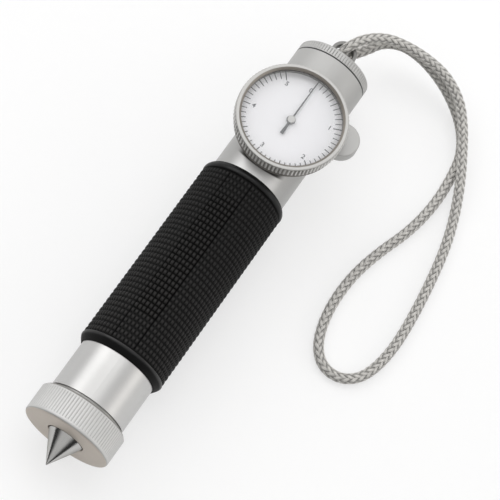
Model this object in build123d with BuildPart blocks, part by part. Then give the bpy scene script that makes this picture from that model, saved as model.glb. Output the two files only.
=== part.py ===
# Fruit hardness tester: a spring plunger with a cone tip, a rack-driven dial and a wrist cord.
# Millimetres. +X runs from the tip to the end cap, +Z is the dial's normal, and the origin is
# the centre of the contact ring's front face. The tool lies on a table at Z = -RING_RADIUS.
import os
from math import cos, pi, radians, sin, tan

from build123d import *

os.makedirs("parts", exist_ok=True)

# Gaps between pieces that are screwed, pressed or slid together
THREAD_GAP = 0.05
PRESS_GAP = 0.02
RUNNING_GAP = 0.05

# Tip and contact ring
CONE_RADIUS = 6.0
CONE_HEIGHT = 10.0
CONE_POINT_RADIUS = 0.15
CONE_LAND = 1.0
CONE_STUD_RADIUS = 2.5
CONE_STUD_END = 8.0
RING_RADIUS = 15.0
RING_LENGTH = 10.0
RING_FACE = 2.5
RING_HOLE_RADIUS = 6.3
RING_FRONT_ROUND = 1.0
RING_BACK_CHAMFER = 0.7

# Tube and grip
TUBE_RADIUS = 13.0
TUBE_BORE_RADIUS = 10.2
TUBE_END = 149.0
NOSE_RADIUS = 12.4
NOSE_END = 11.1
GRIP_RADIUS = 14.75
GRIP_START = 27.5
GRIP_END = 99.6
GRIP_BEAD = 2.8
GRIP_GROOVE_RADIUS = 0.35
GRIP_SLOPE_LENGTH = 2.2
GRIP_SLOPE_DROP = 1.5

# Plunger, its bushes and the measuring spring
ROD_RADIUS = 4.0
ROD_END = 131.0
ROD_FLAT_START = 100.0
ROD_FLAT_HEIGHT = 3.0
FRONT_BUSH_START = 12.5
FRONT_BUSH_END = 26.0
COLLAR_END = 31.0
COLLAR_RADIUS = 9.0
COLLAR_PIN_RADIUS = 0.75
COLLAR_PIN_INSET = 0.5
SEAT_START = 87.0
SEAT_THICKNESS = 2.0
SEAT_SIDE_GAP = 0.4
REAR_BUSH_LENGTH = 9.0
SPRING_RADIUS = 7.0
SPRING_WIRE_RADIUS = 0.9
SPRING_TURNS = 9.5
SPRING_END_GAP = 0.2

# Rack and pinion
DIAL_X = 120.8
GEAR_MODULE = 0.3
PINION_TEETH = 12
PINION_BOTTOM = 4.9
PINION_TOP = 7.1
TOOTH_ADDENDUM = 0.24
TOOTH_DEDENDUM = 0.38
TOOTH_HALF_TIP = 0.09
TOOTH_HALF_PITCH = 0.18
TOOTH_HALF_ROOT = 0.28
TOOTH_SINK = 0.1
RACK_START = 101.0
RACK_END = 130.5
RACK_TEETH = 20
RACK_TEETH_AHEAD = 6.5
RACK_BACK = 4.5
RACK_FRONT = -2.6
RACK_BASE_TOP = 4.6
RACK_TOP = 7.4
RACK_SCREW_X = (103.5, 128.6)
RACK_SCREW_RADIUS = 0.75
RACK_SCREW_HEAD_RADIUS = 1.5
RACK_SCREW_HEAD = 0.9
RACK_SCREW_DEPTH = 2.6
GUIDE_LENGTH = 14.0
GUIDE_WIDTH = 1.9
GUIDE_GAP = 0.15

# Dial case and movement, with heights above the tool's axis
NECK_RADIUS = 8.5
NECK_BORE_RADIUS = 6.8
NECK_LEDGE_RADIUS = 5.6
NECK_BOTTOM = 7.8
NECK_HOLE_GAP = 0.1
CASE_FLOOR_TOP = 14.1
CASE_TOP = 15.9
CASE_RADIUS = 17.08
CASE_WALL_INNER = 15.6
CASE_SCREW_OFFSET = 11.5
CASE_SCREW_RADIUS = 0.9
CASE_SCREW_HEAD_RADIUS = 1.8
CASE_SCREW_HEAD = 1.0
CASE_SCREW_LENGTH = 3.6
PLATE_BOTTOM = 8.3
PLATE_TOP = 9.3
PLATE_RADIUS = 6.7
PILLAR_RADIUS = 0.8
PILLAR_CIRCLE = 5.6
PILLAR_COUNT = 3
BRIDGE_BOTTOM = 13.9
BRIDGE_TOP = 14.7
BRIDGE_RADIUS = 6.6
BRIDGE_SCREW_RADIUS = 0.45
BRIDGE_SCREW_HEAD_RADIUS = 0.95
BRIDGE_SCREW_HEAD = 0.5
BRIDGE_SCREW_LENGTH = 3.0
ARBOR_RADIUS = 0.8
ARBOR_GAP = 0.04
ARBOR_BOTTOM = 4.8
ARBOR_TOP = 17.6
HOLD_DISC_RADIUS = 4.4
HOLD_DISC_BOTTOM = 10.2
HOLD_DISC_TOP = 10.8
LEAF_BOTTOM = 13.2
LEAF_THICKNESS = 0.2
LEAF_WIDTH = 2.2
LEAF_TIP_REACH = 3.6
BRAKE_PAD_RADIUS = 0.6
BRAKE_PAD_GAP = 0.03
BRAKE_PAD_SHARE = 0.55

# Bezel, window, dial and pointer
BEZEL_RADIUS = 18.2
BEZEL_BOTTOM = 13.3
BEZEL_TOP = 20.0
BEZEL_RIM_OUTER = 18.0
BEZEL_RIM_INNER = 17.0
BEZEL_CHAMFER = 0.4
BEZEL_FOOT_RADIUS = 17.65
BEZEL_FOOT_TOP = 15.6
BEZEL_SKIRT_BORE = 17.15
BEZEL_SKIRT_TOP = 16.0
BEZEL_SEAT_BORE = 17.05
BEZEL_LIP_BORE = 16.3
BEZEL_LIP_BOTTOM = 18.9
BEZEL_LIP_TOP = 19.5
SNAP_WIRE_RADIUS = 0.32
SNAP_RING_RADIUS = 16.85
SNAP_HEIGHT = 14.6
SNAP_GROOVE_HALF = 0.4
CASE_GROOVE_RADIUS = 16.4
BEZEL_GROOVE_RADIUS = 17.3
DISC_RADIUS = 17.0
DIAL_BOTTOM = 16.1
DIAL_TOP = 16.5
DIAL_HOLE_RADIUS = 1.3
CRYSTAL_BOTTOM = 18.1
SPACER_BORE = 16.4
POINTER_BOTTOM = 17.0
POINTER_TOP = 17.25
POINTER_REACH = 14.8
POINTER_HALF_WIDTH = 0.28
POINTER_TIP_HALF_WIDTH = 0.15
POINTER_BOSS_RADIUS = 1.45
TAIL_REACH = 5.6
TAIL_HALF_WIDTH = 0.6
HUB_RADIUS = 1.3
HUB_TOP = 17.85
HUB_CHAMFER = 0.15

# Reset lever
LEVER_ANGLE = -68.0
PAD_REACH = 17.6
PAD_RADIUS = 5.8
PAD_BOTTOM = 8.0
PAD_TOP = 12.5
PAD_EDGE_ROUND = 0.4
PAD_RELIEF_RADIUS = 14.5
ARM_BOTTOM = 11.3
ARM_WIDTH = 4.0
ARM_SINK = 1.5
FINGER_WIDTH = 2.0
FINGER_REACH = 3.2
FINGER_ROOT = 6.2
PIVOT_REACH = 7.5
PIVOT_HEIGHT = 11.7
PIVOT_BARREL_RADIUS = 1.0
PIN_RADIUS = 0.5
PIN_LENGTH = 6.6
SLOT_WIDTH = 4.6
SLOT_LENGTH = 4.0
SLOT_BOTTOM = 10.4
SLOT_TOP = 13.1

# End cap and lanyard eye
GASKET_THICKNESS = 0.4
CAP_KNURL_END = 152.0
CAP_END = 152.6
CAP_CHAMFER = 0.6
SPIGOT_START = 142.0
SPIGOT_BORE_RADIUS = 8.8
SPIGOT_FLOOR = 150.5
EYE_X = 158.0
EYE_RADIUS = 4.4
EYE_HOLE_RADIUS = 3.3
EYE_THICKNESS = 3.0
EYE_ROUND = 0.4

# Wrist cord: its centre line from the eye, round the loop on the table and back to the eye
CORD_RADIUS = 1.8
CORD_ROUTE = (
    (158.5, 0.5, 0.4),
    (158.5, 0.5, 3.6),
    (165.3, -2.5, 3.4),
    (170.8, -8.2, 2.6),
    (173.4, -15.8, 1.2),
    (174.8, -23.8, -1.0),
    (174.8, -31.8, -3.6),
    (171.6, -39.9, -6.8),
    (164.8, -46.0, -9.0),
    (156.8, -50.6, -9.2),
    (149.2, -54.9, -10.2),
    (140.0, -59.4, -13.0),
    (128.4, -63.0, -13.2),
    (114.0, -65.4, -13.2),
    (100.0, -66.9, -13.2),
    (88.8, -67.3, -13.2),
    (79.6, -66.0, -13.2),
    (73.6, -63.4, -13.2),
    (70.0, -58.8, -13.2),
    (69.6, -53.1, -13.2),
    (72.5, -48.4, -13.2),
    (78.6, -45.0, -13.2),
    (88.6, -43.0, -13.2),
    (100.4, -43.2, -13.2),
    (112.0, -45.7, -13.2),
    (125.4, -50.4, -13.2),
    (138.4, -52.3, -13.2),
    (149.6, -51.8, -13.2),
    (159.0, -50.2, -13.2),
    (166.8, -45.2, -13.2),
    (171.8, -37.8, -10.6),
    (174.4, -29.8, -7.2),
    (175.5, -21.6, -4.5),
    (174.9, -14.0, -3.0),
    (171.2, -7.8, -2.9),
    (165.2, -4.7, -3.5),
    (158.5, 0.5, -3.6),
    (158.5, 0.5, -0.4),
)
ARC_SHARE = 0.45
EYE_TURN_RADIUS = 3.0

# Values that follow from the ones above
BUSH_RADIUS = TUBE_BORE_RADIUS - THREAD_GAP
REAR_BUSH_START = SEAT_START + SEAT_THICKNESS
COLLAR_MIDDLE = (FRONT_BUSH_END + COLLAR_END) / 2
PITCH_RADIUS = GEAR_MODULE * PINION_TEETH / 2
TOOTH_PITCH = pi * GEAR_MODULE
RACK_MIDDLE = (RACK_START + RACK_END) / 2
RACK_SCREW_PLACES = [(x, 0) for x in RACK_SCREW_X]
CASE_SCREW_PLACES = [(-CASE_SCREW_OFFSET, 0), (CASE_SCREW_OFFSET, 0)]
PILLAR_START = LEVER_ANGLE + 180 / PILLAR_COUNT
DIAL_AXIS = Axis((DIAL_X, 0, 0), (0, 0, 1))
DIAL_SECTION = Plane(origin=(DIAL_X, 0, 0), x_dir=(1, 0, 0), z_dir=(0, -1, 0))
LEVER_DIRECTION = Vector(cos(radians(LEVER_ANGLE)), sin(radians(LEVER_ANGLE)), 0)
LEVER_ACROSS = Vector(-LEVER_DIRECTION.Y, LEVER_DIRECTION.X, 0)
LEVER_SECTION = Plane(origin=(DIAL_X, 0, 0), x_dir=LEVER_DIRECTION, z_dir=LEVER_ACROSS * -1)


def turn(plane, axis, outline, mode=Mode.ADD):
    """Turn a closed outline about an axis, into the part in hand."""
    with BuildSketch(plane) as section:
        with BuildLine():
            Polyline(*outline, close=True)
        make_face()
    revolve(section.sketch, axis=axis, mode=mode)


def turn_on_tool(outline):
    """Turn an outline of (x, radius) points about the tool's axis."""
    turn(Plane.XZ, Axis.X, outline)


def turn_on_dial(outline):
    """Turn an outline of (radius, z) points about the dial's axis."""
    turn(DIAL_SECTION, DIAL_AXIS, outline)


def sleeve(start, end, inner, outer):
    """The outline of a plain sleeve between two stations and two radii."""
    return [(start, inner), (end, inner), (end, outer), (start, outer)]


def disc(inner, outer, bottom, top):
    """The outline of a plain disc between two radii and two heights."""
    return [(inner, bottom), (outer, bottom), (outer, top), (inner, top)]


def dial_plane(height):
    """A level plane on the dial's axis, its own X axis towards the end cap."""
    return Plane(origin=(DIAL_X, 0, height), x_dir=(1, 0, 0), z_dir=(0, 0, 1))


def lever_plane(height):
    """A level plane on the dial's axis, its own X axis along the reset lever."""
    return Plane(origin=(DIAL_X, 0, height), x_dir=LEVER_DIRECTION, z_dir=(0, 0, 1))


def screws(plane, places, radius, length, head_radius, head):
    """Round-head screws whose heads stand on a plane."""
    with BuildSketch(plane) as heads:
        with Locations(*places):
            Circle(head_radius)
    extrude(heads.sketch, amount=head)
    with BuildSketch(plane) as shanks:
        with Locations(*places):
            Circle(radius)
    extrude(shanks.sketch, amount=-length)


def keep(piece, name):
    """Label a finished piece and write it to its own file."""
    piece.part.label = name
    export_step(piece.part, f"parts/{name}.step")


# Cone tip: point, land and threaded stud
with BuildPart() as cone_tip:
    turn_on_tool(
        [
            (-CONE_HEIGHT, 0),
            (-CONE_HEIGHT, CONE_POINT_RADIUS),
            (0, CONE_RADIUS),
            (CONE_LAND, CONE_RADIUS),
            (CONE_LAND, CONE_STUD_RADIUS),
            (CONE_STUD_END, CONE_STUD_RADIUS),
            (CONE_STUD_END, 0),
        ]
    )
keep(cone_tip, "cone_tip")

# Contact ring: a cup nut on the nose of the tube
with BuildPart() as contact_ring:
    with BuildSketch(Plane.XZ):
        with BuildLine():
            Polyline(
                (0, RING_HOLE_RADIUS),
                (RING_FACE, RING_HOLE_RADIUS),
                (RING_FACE, NOSE_RADIUS + THREAD_GAP),
                (RING_LENGTH, NOSE_RADIUS + THREAD_GAP),
                (RING_LENGTH, RING_RADIUS),
                (0, RING_RADIUS),
                close=True,
            )
        make_face()
        fillet(vertices().group_by(Axis.Y)[-1].sort_by(Axis.X)[0], RING_FRONT_ROUND)
        chamfer(vertices().group_by(Axis.Y)[-1].sort_by(Axis.X)[-1], RING_BACK_CHAMFER)
    revolve(axis=Axis.X)
keep(contact_ring, "contact_ring")

# Barrel tube: threaded nose, bore, opening for the dial case and its screw holes
with BuildPart() as barrel_tube:
    turn_on_tool(
        [
            (RING_FACE, TUBE_BORE_RADIUS),
            (TUBE_END, TUBE_BORE_RADIUS),
            (TUBE_END, TUBE_RADIUS),
            (NOSE_END, TUBE_RADIUS),
            (NOSE_END, NOSE_RADIUS),
            (RING_FACE, NOSE_RADIUS),
        ]
    )
    with BuildSketch(dial_plane(0)):
        Circle(NECK_RADIUS + NECK_HOLE_GAP)
        with Locations(*CASE_SCREW_PLACES):
            Circle(CASE_SCREW_RADIUS + PRESS_GAP)
    extrude(amount=2 * TUBE_RADIUS, mode=Mode.SUBTRACT)
keep(barrel_tube, "barrel_tube")

# Grip sleeve: the outer form of the knurled grip, with a sloping bead and a groove at each end
with BuildPart() as grip_sleeve:
    grip_bore = TUBE_RADIUS + THREAD_GAP
    with BuildSketch(Plane.XZ):
        with BuildLine():
            Polyline(
                (GRIP_START, grip_bore),
                (GRIP_START, GRIP_RADIUS - GRIP_SLOPE_DROP),
                (GRIP_START + GRIP_SLOPE_LENGTH, GRIP_RADIUS),
                (GRIP_END - GRIP_SLOPE_LENGTH, GRIP_RADIUS),
                (GRIP_END, GRIP_RADIUS - GRIP_SLOPE_DROP),
                (GRIP_END, grip_bore),
                close=True,
            )
        make_face()
        with Locations((GRIP_START + GRIP_BEAD, GRIP_RADIUS), (GRIP_END - GRIP_BEAD, GRIP_RADIUS)):
            Circle(GRIP_GROOVE_RADIUS, mode=Mode.SUBTRACT)
    revolve(axis=Axis.X)
keep(grip_sleeve, "grip_sleeve")

# Front and rear bushes: the rod slides in both
with BuildPart() as front_bush:
    turn_on_tool(sleeve(FRONT_BUSH_START, FRONT_BUSH_END, ROD_RADIUS + RUNNING_GAP, BUSH_RADIUS))
keep(front_bush, "front_bush")

with BuildPart() as rear_bush:
    rear_bush_end = REAR_BUSH_START + REAR_BUSH_LENGTH
    turn_on_tool(sleeve(REAR_BUSH_START, rear_bush_end, ROD_RADIUS + RUNNING_GAP, BUSH_RADIUS))
keep(rear_bush, "rear_bush")

# Spring seat: the washer that the measuring spring bears on
with BuildPart() as spring_seat:
    seat_bore = ROD_RADIUS + SEAT_SIDE_GAP
    turn_on_tool(sleeve(SEAT_START, REAR_BUSH_START, seat_bore, TUBE_BORE_RADIUS - SEAT_SIDE_GAP))
keep(spring_seat, "spring_seat")

# Plunger rod: threaded front end, cross hole for the collar pin, flat and holes for the rack
with BuildPart() as plunger_rod:
    turn_on_tool(
        [
            (CONE_LAND, CONE_STUD_RADIUS + THREAD_GAP),
            (CONE_LAND, ROD_RADIUS),
            (ROD_END, ROD_RADIUS),
            (ROD_END, 0),
            (CONE_STUD_END + CONE_LAND, 0),
            (CONE_STUD_END + CONE_LAND, CONE_STUD_RADIUS + THREAD_GAP),
        ]
    )
    with BuildSketch(Plane.XY.offset(ROD_FLAT_HEIGHT)):
        with Locations(((ROD_FLAT_START + ROD_END) / 2, 0)):
            Rectangle(ROD_END - ROD_FLAT_START, 2 * ROD_RADIUS)
    extrude(amount=ROD_RADIUS, mode=Mode.SUBTRACT)
    with BuildSketch(Plane.XY.offset(ROD_FLAT_HEIGHT)):
        with Locations(*RACK_SCREW_PLACES):
            Circle(RACK_SCREW_RADIUS + PRESS_GAP)
    extrude(amount=-RACK_SCREW_DEPTH - SPRING_END_GAP, mode=Mode.SUBTRACT)
    with BuildSketch(Plane.XY):
        with Locations((COLLAR_MIDDLE, 0)):
            Circle(COLLAR_PIN_RADIUS + PRESS_GAP)
    extrude(amount=2 * ROD_RADIUS, both=True, mode=Mode.SUBTRACT)
keep(plunger_rod, "plunger_rod")

# Spring collar and the cross pin that holds it on the rod
with BuildPart() as spring_collar:
    collar_start = FRONT_BUSH_END + RUNNING_GAP
    turn_on_tool(sleeve(collar_start, COLLAR_END, ROD_RADIUS + PRESS_GAP, COLLAR_RADIUS))
    with BuildSketch(Plane.XY):
        with Locations((COLLAR_MIDDLE, 0)):
            Circle(COLLAR_PIN_RADIUS + PRESS_GAP)
    extrude(amount=2 * COLLAR_RADIUS, both=True, mode=Mode.SUBTRACT)
keep(spring_collar, "spring_collar")

with BuildPart() as collar_pin:
    with BuildSketch(Plane.XY):
        with Locations((COLLAR_MIDDLE, 0)):
            Circle(COLLAR_PIN_RADIUS)
    extrude(amount=COLLAR_RADIUS - COLLAR_PIN_INSET, both=True)
keep(collar_pin, "collar_pin")

# Measuring spring: one open helix round the rod
spring_start = COLLAR_END + SPRING_WIRE_RADIUS + SPRING_END_GAP
spring_length = SEAT_START - SPRING_WIRE_RADIUS - SPRING_END_GAP - spring_start
with BuildPart() as measuring_spring:
    with BuildLine() as spring_line:
        Helix(
            pitch=spring_length / SPRING_TURNS,
            height=spring_length,
            radius=SPRING_RADIUS,
            center=(spring_start, 0, 0),
            direction=(1, 0, 0),
        )
    with BuildSketch(Plane(origin=spring_line.line @ 0, z_dir=spring_line.line % 0)):
        Circle(SPRING_WIRE_RADIUS)
    sweep(path=spring_line.line, is_frenet=True)
keep(measuring_spring, "measuring_spring")

# Rack: base on the rod's flat, upright web, and teeth that face the pinion
with BuildPart() as rack:
    tooth_root = PITCH_RADIUS + TOOTH_DEDENDUM
    tooth_tip = PITCH_RADIUS - TOOTH_ADDENDUM
    first_tooth = DIAL_X - (RACK_TEETH - RACK_TEETH_AHEAD) * TOOTH_PITCH
    with BuildSketch(Plane.XY.offset(ROD_FLAT_HEIGHT)):
        with Locations((RACK_MIDDLE, (RACK_FRONT + RACK_BACK) / 2)):
            Rectangle(RACK_END - RACK_START, RACK_BACK - RACK_FRONT)
        with Locations(*RACK_SCREW_PLACES):
            Circle(RACK_SCREW_RADIUS + PRESS_GAP, mode=Mode.SUBTRACT)
    extrude(amount=RACK_BASE_TOP - ROD_FLAT_HEIGHT)
    with BuildSketch(Plane.XY.offset(RACK_BASE_TOP)):
        with Locations((RACK_MIDDLE, (tooth_root + RACK_BACK) / 2)):
            Rectangle(RACK_END - RACK_START, RACK_BACK - tooth_root)
        for index in range(RACK_TEETH):
            tooth_x = first_tooth + index * TOOTH_PITCH
            with BuildLine():
                Polyline(
                    (tooth_x - TOOTH_HALF_ROOT, tooth_root + TOOTH_SINK),
                    (tooth_x - TOOTH_HALF_ROOT, tooth_root),
                    (tooth_x - TOOTH_HALF_TIP, tooth_tip),
                    (tooth_x + TOOTH_HALF_TIP, tooth_tip),
                    (tooth_x + TOOTH_HALF_ROOT, tooth_root),
                    (tooth_x + TOOTH_HALF_ROOT, tooth_root + TOOTH_SINK),
                    close=True,
                )
            make_face()
    extrude(amount=RACK_TOP - RACK_BASE_TOP)
keep(rack, "rack")

# Rack screws: through the rack's base into the rod
with BuildPart() as rack_screws:
    rack_screw_length = RACK_BASE_TOP - ROD_FLAT_HEIGHT + RACK_SCREW_DEPTH
    screws(
        Plane.XY.offset(RACK_BASE_TOP),
        RACK_SCREW_PLACES,
        RACK_SCREW_RADIUS,
        rack_screw_length,
        RACK_SCREW_HEAD_RADIUS,
        RACK_SCREW_HEAD,
    )
keep(rack_screws, "rack_screws")

# Rack guide: block under the neck that the rack's back slides along
with BuildPart() as rack_guide:
    with BuildSketch(Plane.XY.offset(RACK_BASE_TOP)):
        with Locations((DIAL_X, RACK_BACK + GUIDE_GAP + GUIDE_WIDTH / 2)):
            Rectangle(GUIDE_LENGTH, GUIDE_WIDTH)
    extrude(amount=NECK_BOTTOM - RACK_BASE_TOP)
keep(rack_guide, "rack_guide")

# Pinion: pressed on the arbor's lower end, with one tooth towards the rack
with BuildPart() as pinion:
    pinion_root = PITCH_RADIUS - TOOTH_DEDENDUM
    pinion_tip = PITCH_RADIUS + TOOTH_ADDENDUM
    with BuildSketch(dial_plane(PINION_BOTTOM)):
        Circle(pinion_root)
        with BuildLine():
            Polyline(
                (-TOOTH_HALF_ROOT, pinion_root - TOOTH_SINK),
                (-TOOTH_HALF_PITCH, PITCH_RADIUS),
                (-TOOTH_HALF_TIP, pinion_tip),
                (TOOTH_HALF_TIP, pinion_tip),
                (TOOTH_HALF_PITCH, PITCH_RADIUS),
                (TOOTH_HALF_ROOT, pinion_root - TOOTH_SINK),
                close=True,
            )
        tooth = make_face(mode=Mode.PRIVATE)
        with PolarLocations(0, PINION_TEETH):
            add(tooth)
        Circle(ARBOR_RADIUS + PRESS_GAP, mode=Mode.SUBTRACT)
    extrude(amount=PINION_TOP - PINION_BOTTOM)
keep(pinion, "pinion")

# Pointer arbor: the upright shaft
with BuildPart() as pointer_arbor:
    turn_on_dial(disc(0, ARBOR_RADIUS, ARBOR_BOTTOM, ARBOR_TOP))
keep(pointer_arbor, "pointer_arbor")

# Hold disc: the brake rubs on it and keeps the peak reading
with BuildPart() as hold_disc:
    turn_on_dial(disc(ARBOR_RADIUS + PRESS_GAP, HOLD_DISC_RADIUS, HOLD_DISC_BOTTOM, HOLD_DISC_TOP))
keep(hold_disc, "hold_disc")

# Dial case: neck in the tube's opening, floor, wall, snap groove, lever slot and screw holes
with BuildPart() as dial_case:
    turn_on_dial(
        [
            (NECK_LEDGE_RADIUS, NECK_BOTTOM),
            (NECK_RADIUS, NECK_BOTTOM),
            (NECK_RADIUS, TUBE_RADIUS),
            (CASE_RADIUS, TUBE_RADIUS),
            (CASE_RADIUS, SNAP_HEIGHT - SNAP_GROOVE_HALF),
            (CASE_GROOVE_RADIUS, SNAP_HEIGHT - SNAP_GROOVE_HALF),
            (CASE_GROOVE_RADIUS, SNAP_HEIGHT + SNAP_GROOVE_HALF),
            (CASE_RADIUS, SNAP_HEIGHT + SNAP_GROOVE_HALF),
            (CASE_RADIUS, CASE_TOP),
            (CASE_WALL_INNER, CASE_TOP),
            (CASE_WALL_INNER, CASE_FLOOR_TOP),
            (NECK_BORE_RADIUS, CASE_FLOOR_TOP),
            (NECK_BORE_RADIUS, PLATE_BOTTOM),
            (NECK_LEDGE_RADIUS, PLATE_BOTTOM),
        ]
    )
    with BuildSketch(lever_plane(SLOT_BOTTOM)):
        with Locations((PIVOT_REACH, 0)):
            Rectangle(SLOT_LENGTH, SLOT_WIDTH)
    extrude(amount=SLOT_TOP - SLOT_BOTTOM, mode=Mode.SUBTRACT)
    with BuildSketch(LEVER_SECTION):
        with Locations((PIVOT_REACH, PIVOT_HEIGHT)):
            Circle(PIN_RADIUS + PRESS_GAP)
    extrude(amount=NECK_RADIUS, both=True, mode=Mode.SUBTRACT)
    with BuildSketch(dial_plane(TUBE_RADIUS)):
        with Locations(*CASE_SCREW_PLACES):
            Circle(CASE_SCREW_RADIUS + PRESS_GAP)
    extrude(amount=CASE_FLOOR_TOP - TUBE_RADIUS, mode=Mode.SUBTRACT)
keep(dial_case, "dial_case")

# Case screws: through the case floor into the tube
with BuildPart() as case_screws:
    screws(
        dial_plane(CASE_FLOOR_TOP),
        CASE_SCREW_PLACES,
        CASE_SCREW_RADIUS,
        CASE_SCREW_LENGTH,
        CASE_SCREW_HEAD_RADIUS,
        CASE_SCREW_HEAD,
    )
keep(case_screws, "case_screws")

# Movement plate: the arbor's lower bearing, on the ledge of the neck
with BuildPart() as movement_plate:
    turn_on_dial(disc(ARBOR_RADIUS + ARBOR_GAP, PLATE_RADIUS, PLATE_BOTTOM, PLATE_TOP))
keep(movement_plate, "movement_plate")

# Movement pillars between plate and bridge
with BuildPart() as movement_pillars:
    with BuildSketch(dial_plane(PLATE_TOP)):
        with PolarLocations(PILLAR_CIRCLE, PILLAR_COUNT, start_angle=PILLAR_START):
            Circle(PILLAR_RADIUS)
            Circle(BRIDGE_SCREW_RADIUS + PRESS_GAP, mode=Mode.SUBTRACT)
    extrude(amount=BRIDGE_BOTTOM - PLATE_TOP)
keep(movement_pillars, "movement_pillars")

# Movement bridge: the arbor's upper bearing
with BuildPart() as movement_bridge:
    with BuildSketch(dial_plane(BRIDGE_BOTTOM)):
        Circle(BRIDGE_RADIUS)
        Circle(ARBOR_RADIUS + ARBOR_GAP, mode=Mode.SUBTRACT)
        with PolarLocations(PILLAR_CIRCLE, PILLAR_COUNT, start_angle=PILLAR_START):
            Circle(BRIDGE_SCREW_RADIUS + PRESS_GAP, mode=Mode.SUBTRACT)
    extrude(amount=BRIDGE_TOP - BRIDGE_BOTTOM)
keep(movement_bridge, "movement_bridge")

# Bridge screws: one into each pillar
with BuildPart() as bridge_screws:
    pillar_angles = [PILLAR_START + 360 / PILLAR_COUNT * step for step in range(PILLAR_COUNT)]
    screws(
        dial_plane(BRIDGE_TOP),
        [(PILLAR_CIRCLE * cos(radians(a)), PILLAR_CIRCLE * sin(radians(a))) for a in pillar_angles],
        BRIDGE_SCREW_RADIUS,
        BRIDGE_SCREW_LENGTH,
        BRIDGE_SCREW_HEAD_RADIUS,
        BRIDGE_SCREW_HEAD,
    )
keep(bridge_screws, "bridge_screws")

# Brake leaf: held round one pillar, its free end over the lever's finger
pillar_turn = radians(-180 / PILLAR_COUNT)
leaf_root = Vector(PILLAR_CIRCLE * cos(pillar_turn), PILLAR_CIRCLE * sin(pillar_turn))
leaf_tip = Vector(LEAF_TIP_REACH, 0)
with BuildPart() as brake_leaf:
    with BuildSketch(lever_plane(LEAF_BOTTOM)):
        SlotCenterPoint((leaf_root + leaf_tip) / 2, leaf_tip, LEAF_WIDTH)
        with Locations(leaf_root):
            Circle(PILLAR_RADIUS + PRESS_GAP, mode=Mode.SUBTRACT)
    extrude(amount=LEAF_THICKNESS)
keep(brake_leaf, "brake_leaf")

# Brake pad: under the leaf, on the rim of the hold disc
with BuildPart() as brake_pad:
    with BuildSketch(lever_plane(HOLD_DISC_TOP + BRAKE_PAD_GAP)):
        with Locations(leaf_root + (leaf_tip - leaf_root) * BRAKE_PAD_SHARE):
            Circle(BRAKE_PAD_RADIUS)
    extrude(amount=LEAF_BOTTOM - HOLD_DISC_TOP - BRAKE_PAD_GAP)
keep(brake_pad, "brake_pad")

# Reset lever: thumb pad with a relief over the tube, arm, finger and pivot barrel
with BuildPart() as reset_lever:
    with BuildSketch(lever_plane(PAD_BOTTOM)):
        with Locations((PAD_REACH, 0)):
            Circle(PAD_RADIUS)
    extrude(amount=PAD_TOP - PAD_BOTTOM)
    fillet(edges().filter_by(GeomType.CIRCLE), PAD_EDGE_ROUND)
    with BuildSketch(Plane.YZ.offset(DIAL_X)):
        Circle(PAD_RELIEF_RADIUS)
    extrude(amount=PAD_REACH + PAD_RADIUS, both=True, mode=Mode.SUBTRACT)
    arm_end = PAD_REACH - PAD_RADIUS + ARM_SINK
    with BuildSketch(lever_plane(ARM_BOTTOM)):
        with Locations(((FINGER_ROOT + arm_end) / 2, 0)):
            Rectangle(arm_end - FINGER_ROOT, ARM_WIDTH)
        with Locations(((FINGER_REACH + FINGER_ROOT) / 2, 0)):
            Rectangle(FINGER_ROOT - FINGER_REACH, FINGER_WIDTH)
    extrude(amount=PAD_TOP - ARM_BOTTOM)
    with BuildSketch(LEVER_SECTION):
        with Locations((PIVOT_REACH, PIVOT_HEIGHT)):
            Circle(PIVOT_BARREL_RADIUS)
    extrude(amount=ARM_WIDTH / 2, both=True)
    with BuildSketch(LEVER_SECTION):
        with Locations((PIVOT_REACH, PIVOT_HEIGHT)):
            Circle(PIN_RADIUS + RUNNING_GAP)
    extrude(amount=ARM_WIDTH, both=True, mode=Mode.SUBTRACT)
keep(reset_lever, "reset_lever")

# Lever pin: the pivot, held in the neck on both sides of its slot
with BuildPart() as lever_pin:
    with BuildSketch(LEVER_SECTION):
        with Locations((PIVOT_REACH, PIVOT_HEIGHT)):
            Circle(PIN_RADIUS)
    extrude(amount=PIN_LENGTH / 2, both=True)
keep(lever_pin, "lever_pin")

# Bezel: skirt round the case on a narrower foot, seat for dial and window, and a bright rim
with BuildPart() as bezel:
    turn_on_dial(
        [
            (BEZEL_SKIRT_BORE, BEZEL_BOTTOM),
            (BEZEL_FOOT_RADIUS, BEZEL_BOTTOM),
            (BEZEL_FOOT_RADIUS, BEZEL_FOOT_TOP),
            (BEZEL_RADIUS - BEZEL_CHAMFER, BEZEL_FOOT_TOP),
            (BEZEL_RADIUS, BEZEL_FOOT_TOP + BEZEL_CHAMFER),
            (BEZEL_RADIUS, BEZEL_TOP - BEZEL_CHAMFER),
            (BEZEL_RIM_OUTER, BEZEL_TOP),
            (BEZEL_RIM_INNER, BEZEL_TOP),
            (BEZEL_LIP_BORE, BEZEL_LIP_TOP),
            (BEZEL_LIP_BORE, BEZEL_LIP_BOTTOM),
            (BEZEL_SEAT_BORE, BEZEL_LIP_BOTTOM),
            (BEZEL_SEAT_BORE, BEZEL_SKIRT_TOP),
            (BEZEL_SKIRT_BORE, BEZEL_SKIRT_TOP),
            (BEZEL_SKIRT_BORE, SNAP_HEIGHT + SNAP_GROOVE_HALF),
            (BEZEL_GROOVE_RADIUS, SNAP_HEIGHT + SNAP_GROOVE_HALF),
            (BEZEL_GROOVE_RADIUS, SNAP_HEIGHT - SNAP_GROOVE_HALF),
            (BEZEL_SKIRT_BORE, SNAP_HEIGHT - SNAP_GROOVE_HALF),
        ]
    )
keep(bezel, "bezel")

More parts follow.
